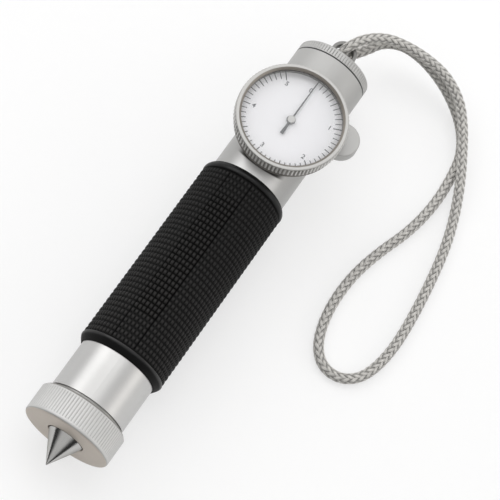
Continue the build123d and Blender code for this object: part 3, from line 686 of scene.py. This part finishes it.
def dial_paint():
    """Screen-printed white of the dial, hardly shiny, with painted shade at the edge."""
    finish = Finish("dial_paint", {"Specular IOR Level": 0.4})
    place = finish.place()
    peel = finish.noise(place, 2600, 3)
    cloud = finish.noise(place, 90, 2)
    edge = finish.between(finish.radius(DIAL), DIAL_EDGE_SHADE[0], DIAL_EDGE_SHADE[1])
    white = finish.mixed(cloud, (0.84, 0.83, 0.85), (0.88, 0.87, 0.89))
    finish.feed("Base Color", finish.mixed(edge, white, (0.7, 0.688, 0.7)))
    finish.feed("Roughness", 0.46 + 0.1 * peel)
    finish.bump(peel, 0.06, 0.02)
    return finish.material


def scale_ink():
    """Black printing ink, a little uneven."""
    colours = ((0.02, 0.02, 0.022), (0.07, 0.07, 0.075))
    return grained("scale_ink", {"Specular IOR Level": 0.3}, FINE_GRAIN, colours, (0.6, 0.2))


def pointer_metal(name, low, high):
    """Blackened or bright sheet metal of the pointer and its hub."""
    return grained(name, {"Metallic": 0.6}, 4600, (low, high), (0.4, 0.16), (0.06, 0.01))


def window_glass():
    """Clear flat window, thin enough to leave the dial bright, with faint wiping marks."""
    finish = Finish("window_glass", {"Base Color": (0.9, 0.92, 0.93, 1.0), "Alpha": 0.1})
    smear = finish.noise(finish.stretched(finish.place(), (1.0, 0.3, 1.0)), 120, 3)
    finish.feed("Roughness", 0.02 + 0.05 * smear)
    return finish.material


def yarn_fibre():
    """Twisted fibre yarn: streaks along each yarn, with its own tone and painted shade where it dives."""
    finish = Finish("yarn_fibre", {"Specular IOR Level": 0.25, "Sheen Weight": 0.25})
    shade = finish.node("ShaderNodeAttribute", {"attribute_name": "shade"}, {}, "Fac")
    uv = finish.node("ShaderNodeUVMap", {"uv_map": "yarn"})
    along, around, _ = finish.parts(uv)
    length, strands, twist, apart = 0.35, 9.0, 2.6, 40.0
    sockets = {"X": along * length, "Y": around * strands + along * twist, "Z": shade * apart}
    lay = finish.node("ShaderNodeCombineXYZ", {}, sockets)
    fibres = finish.noise(lay, 1.0, 3, 0.6)
    pale = finish.mixed(fibres, (0.555, 0.539, 0.511), (0.725, 0.708, 0.675))
    # grey is mostly the colour of the painted shade at the yarns' dives
    grey = finish.mixed(fibres, (0.225, 0.22, 0.21), (0.36, 0.35, 0.334))
    finish.feed("Base Color", finish.mixed(shade, grey, pale))
    finish.feed("Roughness", 0.78 + 0.2 * (fibres - 0.5))
    finish.bump(fibres, 0.5, 0.06)
    return finish.material


def cord_core_fibre():
    """The shaded filling seen between the yarns."""
    colours = ((0.3, 0.29, 0.275), (0.46, 0.45, 0.43))
    return grained("cord_core_fibre", {"Specular IOR Level": 0.2}, 2400, colours, (0.85, 0.1))


def make_ring(material):
    """The contact ring: a knurled cup nut with a rounded front edge."""
    length = RING_HIGH.x
    band_start = RING_FRONT_ROUND + 0.2
    band_end = length - RING_BACK_CHAMFER - 0.1
    run_out = 0.35
    section = [
        (RING_FACE_DEPTH, RING_HOLE_RADIUS),
        (RING_HOLE_EDGE, RING_HOLE_RADIUS),
        (0.0, RING_HOLE_RADIUS + RING_HOLE_EDGE),
        *arc((RING_FRONT_ROUND, RING_RADIUS - RING_FRONT_ROUND), RING_FRONT_ROUND, 180, 90),
        (band_start, RING_RADIUS),
        (band_start + run_out, RING_RADIUS),
        (band_end - run_out, RING_RADIUS),
        (band_end, RING_RADIUS),
        (length - RING_BACK_CHAMFER - EDGE_BREAK, RING_RADIUS),
        (length - RING_BACK_CHAMFER + EDGE_BREAK, RING_RADIUS - EDGE_BREAK),
        (length - EDGE_BREAK, RING_RADIUS - RING_BACK_CHAMFER + EDGE_BREAK),
        (length, RING_RADIUS - RING_BACK_CHAMFER - EDGE_BREAK),
        (length, RING_BORE_RADIUS),
        (RING_FACE_DEPTH, RING_BORE_RADIUS),
        (RING_FACE_DEPTH, RING_HOLE_RADIUS),
    ]
    ring = turned("knurled_contact_ring", RING_TEETH * TOOTH_LINES, section, TOOL)
    close_skin(ring)
    stretch = (band_start + run_out / 2, band_end - run_out / 2)
    press_lines(ring, TOOL, RING_TEETH, (0,), stretch, RING_RADIUS, RING_RADIUS - RING_GROOVE_DEPTH)
    smooth(ring, 30)
    finish_piece(ring, "barrel", material, ["contact_ring"])


def make_grip(material):
    """The grip: a row of bumps, repeated along the sleeve, a raised panel and a sloping bead at each end."""
    inset = GRIP_BEAD + GRIP_BEAD_GAP
    first, last = GRIP_LOW.x + inset, GRIP_HIGH.x - inset
    pitch = (last - first) / GRIP_ROWS
    valley = GRIP_RADIUS - GRIP_GROOVE_DEPTH
    flank = valley + GRIP_FLANK_HEIGHT * GRIP_GROOVE_DEPTH
    rise = [(0.0, valley), (GRIP_FLANK_AT, flank), (GRIP_TOP_AT, GRIP_RADIUS)]
    shape = rise + [(1.0 - share, radius) for share, radius in reversed(rise)]
    row = [(first + share * pitch, radius) for share, radius in shape]
    grip = turned("knurled_grip", GRIP_CELLS * TOOTH_LINES, row, TOOL)
    inside = (first + 0.05 * pitch, first + 0.95 * pitch)
    shoulders, gaps = (1, 3), (0,)
    for lines, old_radius, new_radius in (
        (shoulders, GRIP_RADIUS, GRIP_RADIUS - GRIP_SHOULDER_DROP),
        (shoulders, flank, flank - GRIP_SHOULDER_DROP / 2),
        (gaps, GRIP_RADIUS, valley),
        (gaps, flank, valley),
    ):
        press_lines(grip, TOOL, GRIP_CELLS, lines, inside, old_radius, new_radius)
    apply_modifier(
        grip, "ARRAY", count=GRIP_ROWS, use_relative_offset=False, use_constant_offset=True,
        constant_offset_displace=(pitch * MM, 0, 0), use_merge_vertices=True, merge_threshold=NEAR * MM,
    )

    def on_panel_bump(point):
        along, radius, angle = TOOL.read(point)
        row_number, cell = (along - first) / pitch, degrees(angle) / 360 * GRIP_CELLS
        in_panel = PANEL_ROWS[0] < row_number < PANEL_ROWS[1] and PANEL_CELLS[0] < cell < PANEL_CELLS[1]
        return in_panel and radius > valley + 0.05

    def on_border(point):
        along, _, angle = TOOL.read(point)
        cell = degrees(angle) / 360 * GRIP_CELLS
        return first + 0.1 < along < last - 0.1 and min(abs(cell - border) for border in PANEL_CELLS) < 0.05

    press(grip, TOOL, on_panel_bump, 1 + PANEL_RISE / GRIP_RADIUS)
    press(grip, TOOL, on_border, 1 - PANEL_BORDER_DEPTH / valley)
    middle = (first + last) / 2
    ends = ((first, 1, GRIP_LOW.x, GRIP_TIP_BEAD), (last, -1, GRIP_HIGH.x, GRIP_DIAL_BEAD))
    for edge, way, end, form in ends:
        bead = [(end + way * along, GRIP_RADIUS + lift) for along, lift in form]
        bore = [(end, GRIP_BORE_RADIUS), (middle, GRIP_BORE_RADIUS)]
        select_points(grip, lambda point: abs(point.x - edge) < NEAR)
        pull(TOOL, (edge, valley), [(edge - way * 0.2, valley), *bead, *bore])
    close_skin(grip)
    smooth(grip, 50)
    finish_piece(grip, "barrel", material, ["grip_sleeve"])


def make_bezel(material):
    """The turning bezel: a narrow foot, a toothed band and a bright rim."""
    bottom, top = BEZEL_LOW.z, BEZEL_HIGH.z
    edge, run_out = 0.2, 0.3
    band_start, band_end = BEZEL_FOOT_TOP + edge + EDGE_BREAK, top - BEZEL_RIM_ROUND - 0.1
    rim = BEZEL_BODY_RADIUS - BEZEL_RIM_ROUND
    groove_low, groove_high = BEZEL_SNAP_GROOVE
    section = [
        (bottom, BEZEL_SKIRT_BORE),
        (bottom, BEZEL_FOOT_RADIUS - 0.1),
        (bottom + 0.1, BEZEL_FOOT_RADIUS),
        (BEZEL_FOOT_TOP, BEZEL_FOOT_RADIUS),
        (BEZEL_FOOT_TOP, BEZEL_BODY_RADIUS - edge),
        (BEZEL_FOOT_TOP + edge, BEZEL_BODY_RADIUS),
        (band_start, BEZEL_BODY_RADIUS),
        (band_start + run_out, BEZEL_RADIUS),
        (band_end - run_out, BEZEL_RADIUS),
        (band_end, BEZEL_BODY_RADIUS),
        *arc((top - BEZEL_RIM_ROUND, rim), BEZEL_RIM_ROUND, 90, 0, 7),
        (top, BEZEL_RIM_INNER + EDGE_BREAK),
        (top - 0.04, BEZEL_RIM_INNER),
        (BEZEL_LIP_TOP + 0.03, BEZEL_LIP_BORE + EDGE_BREAK),
        (BEZEL_LIP_TOP - EDGE_BREAK, BEZEL_LIP_BORE),
        (BEZEL_LIP_HEIGHT, BEZEL_LIP_BORE),
        (BEZEL_LIP_HEIGHT, BEZEL_SEAT_BORE),
        (BEZEL_SKIRT_TOP, BEZEL_SEAT_BORE),
        (BEZEL_SKIRT_TOP, BEZEL_SKIRT_BORE),
        (groove_high, BEZEL_SKIRT_BORE),
        (groove_high, BEZEL_SKIRT_BORE + BEZEL_SNAP_DEPTH),
        (groove_low, BEZEL_SKIRT_BORE + BEZEL_SNAP_DEPTH),
        (groove_low, BEZEL_SKIRT_BORE),
        (bottom, BEZEL_SKIRT_BORE),
    ]
    bezel = turned("knurled_bezel", BEZEL_TEETH * TOOTH_LINES, section, DIAL)
    close_skin(bezel)
    stretch = (band_start, band_end)
    valley = BEZEL_RADIUS - BEZEL_GROOVE_DEPTH
    press_lines(bezel, DIAL, BEZEL_TEETH, (0, 1), stretch, BEZEL_RADIUS, valley)
    smooth(bezel, 30)
    finish_piece(bezel, "bezel_set", material, ["bezel"])


def add_wire(name, kind, places):
    """A curve without thickness through places in millimetres; kind is its spline's."""
    curve = bpy.data.curves.new(name, "CURVE")
    curve.dimensions = "3D"
    spline = curve.splines.new(kind)
    spline.points.add(len(places) - 1)
    for point, place in zip(spline.points, places):
        point.co = (*(Vector(place) * MM), 1.0)
    wire = bpy.data.objects.new(name, curve)
    bpy.context.scene.collection.objects.link(wire)
    return wire


def thicken(wire, radius):
    """Makes a curve round, with closed ends."""
    wire.data.bevel_depth = radius * MM
    wire.data.bevel_resolution = 3
    wire.data.use_fill_caps = True


def make_spring(material):
    """The measuring spring: an open coil of wire."""
    start, end = SPRING_LOW.x + SPRING_WIRE_RADIUS, SPRING_HIGH.x - SPRING_WIRE_RADIUS
    places = []
    for number in range(SPRING_STEPS + 1):
        share = number / SPRING_STEPS
        angle = 2 * pi * SPRING_TURNS * share
        along = start + share * (end - start)
        places.append((along, SPRING_RADIUS * cos(angle), SPRING_RADIUS * sin(angle)))
    coil = add_wire("measuring_coil", "POLY", places)
    thicken(coil, SPRING_WIRE_RADIUS)
    work_on(coil)
    bpy.ops.object.convert(target="MESH")
    bpy.ops.object.shade_smooth()
    finish_piece(coil, "barrel", material, ["measuring_spring"])
    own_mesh(coil)


def make_eye():
    """The lanyard eye: a plate with a hole, rounded at its free end."""
    rest_selection()
    bpy.ops.mesh.primitive_circle_add(
        vertices=EYE_SIDES, radius=EYE_HOLE_RADIUS * MM, fill_type="NOTHING",
        location=(EYE_X * MM, 0, -EYE_THICKNESS / 2 * MM),
    )
    eye = new_piece("lanyard_eye")
    spindle = Spindle((EYE_X, 0, 0), (0, 0, 1), (0, 0, 0))
    bottom = -EYE_THICKNESS / 2
    edit_all(eye)
    pull(spindle, (bottom, EYE_HOLE_RADIUS), [(bottom, EYE_RADIUS)])

    def towards_cap(point):
        return hypot(point.x - EYE_X, point.y) > EYE_RADIUS - NEAR and point.x < EYE_X - NEAR

    select_points(eye, towards_cap)
    bpy.ops.transform.resize(value=(0, 1, 1), center_override=(EYE_ROOT * MM, 0, 0))
    bpy.ops.mesh.select_all(action="SELECT")
    extrude((0, 0, EYE_THICKNESS * MM))
    close_skin(eye)
    apply_modifier(
        eye, "BEVEL", width=EYE_ROUND * MM, segments=4, limit_method="ANGLE", angle_limit=radians(60)
    )
    return eye


def make_cap(material):
    """The end cap: spigot, finely toothed rim, rounded face and the eye."""
    start = GASKET_END
    rim_end = CAP_FACE - CAP_EDGE_ROUND
    run_out = 0.25
    section = [
        (SPIGOT_FLOOR, SPIGOT_BORE_RADIUS),
        (CAP_LOW.x, SPIGOT_BORE_RADIUS),
        (CAP_LOW.x, SPIGOT_RADIUS),
        (start, SPIGOT_RADIUS),
        (start, TUBE_RADIUS - 0.15),
        (start + 0.15, TUBE_RADIUS),
        (start + 0.3, TUBE_RADIUS),
        (start + 0.3 + run_out, TUBE_RADIUS),
        (rim_end - run_out - 0.1, TUBE_RADIUS),
        (rim_end - 0.1, TUBE_RADIUS),
        *arc((rim_end, TUBE_RADIUS - CAP_EDGE_ROUND), CAP_EDGE_ROUND, 90, 0),
    ]
    cap = turned("knurled_end_cap", CAP_TEETH * TOOTH_LINES, section, TOOL)
    close_skin(cap)
    stretch = (start + 0.3 + run_out / 2, rim_end - run_out / 2 - 0.1)
    press_lines(cap, TOOL, CAP_TEETH, (0,), stretch, TUBE_RADIUS, TUBE_RADIUS - CAP_GROOVE_DEPTH)
    eye = make_eye()
    work_on(cap)
    eye.select_set(True)
    bpy.ops.object.join()
    smooth(cap, 30)
    finish_piece(cap, "barrel", material, ["end_cap"])


def turn_on_dial(angle):
    """Turns what is selected about the dial's axis; with no window the operator's sign is reversed."""
    bpy.ops.transform.rotate(value=-angle, orient_axis="Z", center_override=DIAL.place(0))


def make_ticks(kind, steps, material):
    """The scale's lines of one length: one thin bar, copied round the dial."""
    length, width = TICK_LENGTHS[kind], TICK_WIDTHS[kind]
    rest_selection()
    middle = DIAL_X + TICK_OUTER - length / 2
    bpy.ops.mesh.primitive_plane_add(size=MM, location=(middle * MM, 0, DIAL_TOP * MM))
    bpy.context.object.scale = (length, width, 1)
    ticks = new_piece(f"scale_{kind}_lines")
    edit_all(ticks)
    extrude((0, 0, INK_THICKNESS * MM))
    face_outwards()
    turn_on_dial(-radians(UNIT_DEG / TENTHS * steps[0]))
    for before, after in zip(steps, steps[1:]):
        bpy.ops.mesh.duplicate()
        turn_on_dial(-radians(UNIT_DEG / TENTHS * (after - before)))
    leave_edit()
    finish_piece(ticks, "bezel_set", material)


def make_numerals(material):
    """The figures of the scale, all upright towards the end cap."""
    for number in range(SCALE_UNITS + 1):
        angle = -radians(UNIT_DEG * number) if number else radians(ZERO_SHIFT_DEG)
        rest_selection()
        bpy.ops.object.text_add()
        text = bpy.context.object
        text.data.body = str(number)
        text.data.size = NUMERAL_SIZE * MM
        text.data.align_x = "CENTER"
        text.data.align_y = "CENTER"
        text.data.extrude = INK_THICKNESS / 2 * MM
        text.data.offset = NUMERAL_BOLD * MM
        text.data.resolution_u = 4
        bpy.ops.object.convert(target="MESH")
        reach = DIAL_X + NUMERAL_RADIUS * cos(angle), NUMERAL_RADIUS * sin(angle)
        text = bpy.context.object
        text.location = (reach[0] * MM, reach[1] * MM, (DIAL_TOP + INK_THICKNESS / 2) * MM)
        text.rotation_euler = (0, 0, -pi / 2)
        numeral = new_piece(f"scale_figure_{number}")
        finish_piece(numeral, "bezel_set", material)


def make_cord_line(material):
    """The cord's line: a smooth spline through the route's runs, given the core's thickness."""
    core = add_wire("wrist_cord_core", "NURBS", CORD_ROUTE)
    spline = core.data.splines[0]
    spline.order_u = 3
    spline.use_endpoint_u = True
    spline.resolution_u = 20
    core.data.resolution_u = 20
    bpy.context.view_layer.update()
    line = bpy.data.meshes.new_from_object(core)
    points = np.array([vertex.co for vertex in line.vertices]) / MM
    bpy.data.meshes.remove(line)
    thicken(core, CORD_CORE_RADIUS)
    core.data.materials.append(material)
    return core, points


def even_steps(points, step):
    """Places along a line at an even spacing, with how far along each one is."""
    runs = np.linalg.norm(np.diff(points, axis=0), axis=1)
    reached = np.concatenate([[0.0], np.cumsum(runs)])
    along = np.linspace(0.0, reached[-1], int(reached[-1] / step) + 1)
    return np.column_stack([np.interp(along, reached, points[:, axis]) for axis in range(3)]), along


def carried_frames(places):
    """Two directions across the line at each place, carried along it without twisting."""
    ahead = np.gradient(places, axis=0)
    ahead /= np.linalg.norm(ahead, axis=1)[:, None]
    across = [np.cross(ahead[0], (0.0, 0.0, 1.0))]
    if np.linalg.norm(across[0]) < 0.1:
        across = [np.cross(ahead[0], (0.0, 1.0, 0.0))]
    for direction in ahead:
        side = across[-1] - direction * np.dot(across[-1], direction)
        across.append(side / np.linalg.norm(side))
    across = np.array(across[1:])
    return across, np.cross(ahead, across)


def yarn_line(places, along, frames, number, way):
    """One yarn's line, its outward and width directions and its wave; way is +1 or -1."""
    across, up = frames
    crossing = 2 * YARNS_EACH_WAY * along / YARN_LAY
    angle = way * 2 * pi * along / YARN_LAY + 2 * pi * number / YARNS_EACH_WAY
    if way > 0:
        wave = np.cos(pi / 2 * (crossing - 0.5 + 2 * number))
    else:
        wave = -np.cos(pi / 2 * (2 * number - crossing - 0.5))
    radius = YARN_CIRCLE + YARN_WAVE * wave
    outward = across * np.cos(angle)[:, None] + up * np.sin(angle)[:, None]
    line = places + outward * radius[:, None]
    ahead = np.gradient(line, axis=0)
    sideways = np.cross(ahead, outward)
    sideways /= np.linalg.norm(sideways, axis=1)[:, None]
    return line, outward, sideways, wave


def make_yarns(name, places, along, frames, way, material):
    """Half of the braid: the yarns that wind one way, as closed flattened tubes."""
    rows = len(places)
    turns = np.linspace(0.0, 2 * pi, YARN_SIDES, endpoint=False)
    points, faces, texture, shade = [], [], [], []
    for number in range(YARNS_EACH_WAY):
        line, outward, sideways, wave = yarn_line(places, along, frames, number, way)
        first = len(points) * rows * YARN_SIDES
        ring = [
            line + outward * (YARN_HALF_THICKNESS * sin(turn)) + sideways * (YARN_HALF_WIDTH * cos(turn))
            for turn in turns
        ]
        points.append(np.stack(ring, axis=1).reshape(-1, 3))
        # Painted shade: each yarn is coloured darker where it dives under the crossing yarns, most on its
        # falling side
        strength = np.where(np.gradient(wave) < 0, 1.0, YARN_RISE_SHADE)
        depth = np.clip((YARN_TOP_WAVE - wave) / (YARN_TOP_WAVE - YARN_DIVE_WAVE), 0.0, 1.0)
        dive_shade = depth * strength
        shade.append(np.repeat(YARN_SHADES[number] * (1.0 - dive_shade), YARN_SIDES))
        for row in range(rows - 1):
            for side in range(YARN_SIDES):
                beside = (side + 1) % YARN_SIDES
                low, high = first + row * YARN_SIDES, first + (row + 1) * YARN_SIDES
                faces.append((low + side, high + side, high + beside, low + beside))
                lower, upper = along[row], along[row + 1]
                left, right = side / YARN_SIDES, (side + 1) / YARN_SIDES
                texture += [lower, left, upper, left, upper, right, lower, right]
        for row in (0, rows - 1):
            cap = [first + row * YARN_SIDES + side for side in range(YARN_SIDES)]
            faces.append(cap)
            texture += [along[row], 0.5] * YARN_SIDES
    mesh = bpy.data.meshes.new(name)
    mesh.from_pydata(np.concatenate(points) * MM, [], faces)
    mesh.uv_layers.new(name="yarn").data.foreach_set("uv", texture)
    attribute = mesh.attributes.new("shade", "FLOAT", "POINT")
    attribute.data.foreach_set("value", np.concatenate(shade))
    yarns = bpy.data.objects.new(name, mesh)
    bpy.context.scene.collection.objects.link(yarns)
    edit_all(yarns)
    face_outwards()
    leave_edit()
    bpy.ops.object.shade_smooth()
    finish_piece(yarns, "barrel", material)
    return yarns


def make_cord():
    """The wrist cord: a braid of sixteen yarns over a core."""
    core, points = make_cord_line(cord_core_fibre())
    places, along = even_steps(points, YARN_STEP)
    frames = carried_frames(places)
    fibre = yarn_fibre()
    right = make_yarns("wrist_cord_yarns_right", places, along, frames, 1, fibre)
    left = make_yarns("wrist_cord_yarns_left", places, along, frames, -1, fibre)
    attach(core, "barrel")
    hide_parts("wrist_cord")


def dress(material, *nodes):
    """Gives CAD nodes a better material."""
    for node in nodes:
        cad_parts[node].material_slots[0].material = material


def make_floor():
    """A pale floor that reads white where it is lit and keeps the object's shadow."""
    rest_selection()
    bpy.ops.mesh.primitive_plane_add(size=FLOOR_SIZE, location=(0, 0, cad_box[0][2]))
    floor = new_piece("studio_floor")
    constants = {"Base Color": (0.96, 0.96, 0.96, 1.0), "Roughness": 0.9, "Specular IOR Level": 0.1}
    paper = Finish("floor_paper", constants)
    rays = ("Camera", "Glossy", "Transmission")
    camera, glossy, through = [paper.node("ShaderNodeLightPath", output=f"Is {ray} Ray") for ray in rays]
    white = paper.node("ShaderNodeEmission", {}, {"Color": (1.0, 1.0, 1.0, 1.0), "Strength": 1.0})
    lit = Value(paper, paper.surface.outputs[0])
    share = (camera + glossy + through) * FLOOR_WHITE_SHARE
    shown = paper.node("ShaderNodeMixShader", {}, {0: share, 1: lit, 2: white})
    paper.tree.links.new(shown.socket, paper.tree.nodes["Material Output"].inputs["Surface"])
    floor.data.materials.append(paper.material)


def softbox(name, place, size, radiance, colour=(1.0, 1.0, 1.0)):
    """A soft area lamp of a given brightness, aimed at the tool; place and size are in metres."""
    lamp = bpy.data.lights.new(name, "AREA")
    lamp.shape = "RECTANGLE"
    lamp.size, lamp.size_y = size
    lamp.energy = radiance * pi * size[0] * size[1]
    lamp.color = colour
    holder = bpy.data.objects.new(name, lamp)
    holder.location = place
    holder.rotation_euler = (Vector(LAMP_AIM) - Vector(place)).to_track_quat("-Z", "Y").to_euler()
    bpy.context.scene.collection.objects.link(holder)


def make_card():
    """A curved card in front of the tip, black below and grey above, which polished metal shows."""
    rest_selection()
    bpy.ops.mesh.primitive_cylinder_add(
        vertices=CARD_SIDES, radius=CARD_RADIUS, depth=CARD_HEIGHT, end_fill_type="NOTHING",
        location=(0, 0, cad_box[0][2] + CARD_HEIGHT / 2),
    )
    card = new_piece("studio_card")
    edit_all(card)
    bpy.ops.mesh.bisect(plane_co=(CARD_EDGE, 0, 0), plane_no=(1, 0, 0), clear_outer=True)
    leave_edit()
    finish = Finish("studio_card", {"Roughness": 0.9, "Specular IOR Level": 0.1})
    height = finish.parts(finish.place())[2]
    grey = finish.between(height, CARD_BLACK_HEIGHT, CARD_GREY_HEIGHT)
    finish.feed("Base Color", finish.mixed(grey, (0.04, 0.04, 0.04), (0.9, 0.9, 0.9)))
    card.data.materials.append(finish.material)
    card.visible_camera = False


def make_lights():
    """Plain soft studio light: a broad key on the grip's left, a top light and a fill on its right."""
    for name, settings in LAMPS.items():
        softbox(name, **settings)
    world = bpy.data.worlds.new("studio")
    world.use_nodes = True
    world.node_tree.nodes["Background"].inputs["Color"].default_value = (*(WORLD_LEVEL,) * 3, 1.0)
    bpy.context.scene.world = world


def make_camera():
    """The photograph's viewpoint."""
    camera = bpy.data.cameras.new("photo_camera")
    camera.sensor_width = SENSOR_WIDTH
    camera.lens = CAMERA_LENS
    camera.clip_start = 0.01
    holder = bpy.data.objects.new("photo_camera", camera)
    holder.location = Vector(CAMERA_PLACE) * MM
    holder.rotation_euler = [radians(turn) for turn in CAMERA_TURN_DEG]
    bpy.context.scene.collection.objects.link(holder)
    bpy.context.scene.camera = holder


make_camera()
make_cord()

satin = satin_aluminium()
ring_finish = knurled_aluminium(
    "ring_aluminium", TOOL, (RING_RADIUS, RING_GROOVE_DEPTH),
    # The face's warm, darker tone is a painted reflection of the shaded floor in front of the ring
    ((0.41, 0.407, 0.399), (0.57, 0.567, 0.558), (0.53, 0.482, 0.43)), 0.56,
    # The back chamfer's dark colour is painted shade at the ring's back edge
    zones=(((0.28, 0.272, 0.258), RING_HIGH.x - RING_BACK_CHAMFER, RING_HIGH.x + 1.0),),
)
make_ring(ring_finish)
make_grip(grip_rubber())
bezel_finish = knurled_aluminium(
    "bezel_aluminium", DIAL, (BEZEL_RADIUS, BEZEL_GROOVE_DEPTH),
    ((0.24, 0.23, 0.214), (0.58, 0.572, 0.555), (0.52, 0.515, 0.5)), 0.42,
    # The dark brown inside the rim is painted shade on the bezel's inner slope
    inside=((0.2, 0.184, 0.164), BEZEL_RIM_INNER),
    zones=(
        # The foot below the teeth is coloured dark as painted shade under the toothed band
        ((0.13, 0.12, 0.108), BEZEL_LOW.z - 1.0, BEZEL_FOOT_TOP),
        ((0.43, 0.425, 0.412), BEZEL_HIGH.z - BEZEL_RIM_ROUND, BEZEL_HIGH.z + 1.0),
    ),
)
make_bezel(bezel_finish)
cap_finish = knurled_aluminium(
    "cap_aluminium", TOOL, (TUBE_RADIUS, CAP_GROOVE_DEPTH),
    ((0.31, 0.308, 0.3), (0.43, 0.427, 0.418), (0.4, 0.397, 0.388)), 0.52,
    zones=(((0.24, 0.236, 0.228), CAP_FACE + 0.4, CAP_HIGH.x + 1.0),),
)
make_cap(cap_finish)

ink = scale_ink()
all_steps = range(SCALE_UNITS * TENTHS + 1)
make_ticks("unit", [step for step in all_steps if step % TENTHS == 0], ink)
make_ticks("half", [step for step in all_steps if step % TENTHS == TENTHS // 2], ink)
make_ticks("tenth", [step for step in all_steps if step % (TENTHS // 2)], ink)
make_numerals(ink)

dress(tube_aluminium(), "barrel_tube")
dress(satin, "dial_case", "reset_lever", "contact_ring", "end_cap", "bezel")
dress(polished_steel(), "cone_tip", "plunger_rod")
turned_steel = steel("turned_steel", (0.46, 0.46, 0.47), (0.62, 0.62, 0.63), 0.3, 3800)
dress(turned_steel, "spring_seat", "spring_collar", "collar_pin", "lever_pin", "pointer_arbor", "hold_disc")
drawn_steel = steel("drawn_steel", (0.34, 0.34, 0.36), (0.5, 0.5, 0.52), 0.34, 2600)
dress(drawn_steel, "measuring_spring", "brake_leaf", "bezel_snap_ring")
make_spring(drawn_steel)
screw_steel = steel("screw_steel", (0.42, 0.42, 0.43), (0.58, 0.58, 0.59), 0.26, 5200)
dress(screw_steel, "rack_screws", "case_screws", "bridge_screws")
dress(
    brass(), "front_bush", "rear_bush", "rack", "pinion",
    "movement_plate", "movement_pillars", "movement_bridge",
)
dress(plain_rubber(), "cap_gasket", "brake_pad", "grip_sleeve")
dress(guide_plastic(), "rack_guide")
dress(steel("spacer_metal", (0.12, 0.112, 0.1), (0.2, 0.188, 0.17), 0.26, 3200), "crystal_spacer")
dress(dial_paint(), "dial_plate")
dress(pointer_metal("pointer_black", (0.018, 0.018, 0.02), (0.036, 0.036, 0.039)), "pointer")
dress(pointer_metal("hub_bright", (0.36, 0.355, 0.345), (0.5, 0.49, 0.475)), "pointer_hub")
dress(window_glass(), "crystal")

make_floor()
make_card()
make_lights()
bpy.context.scene.view_settings.view_transform = "Standard"
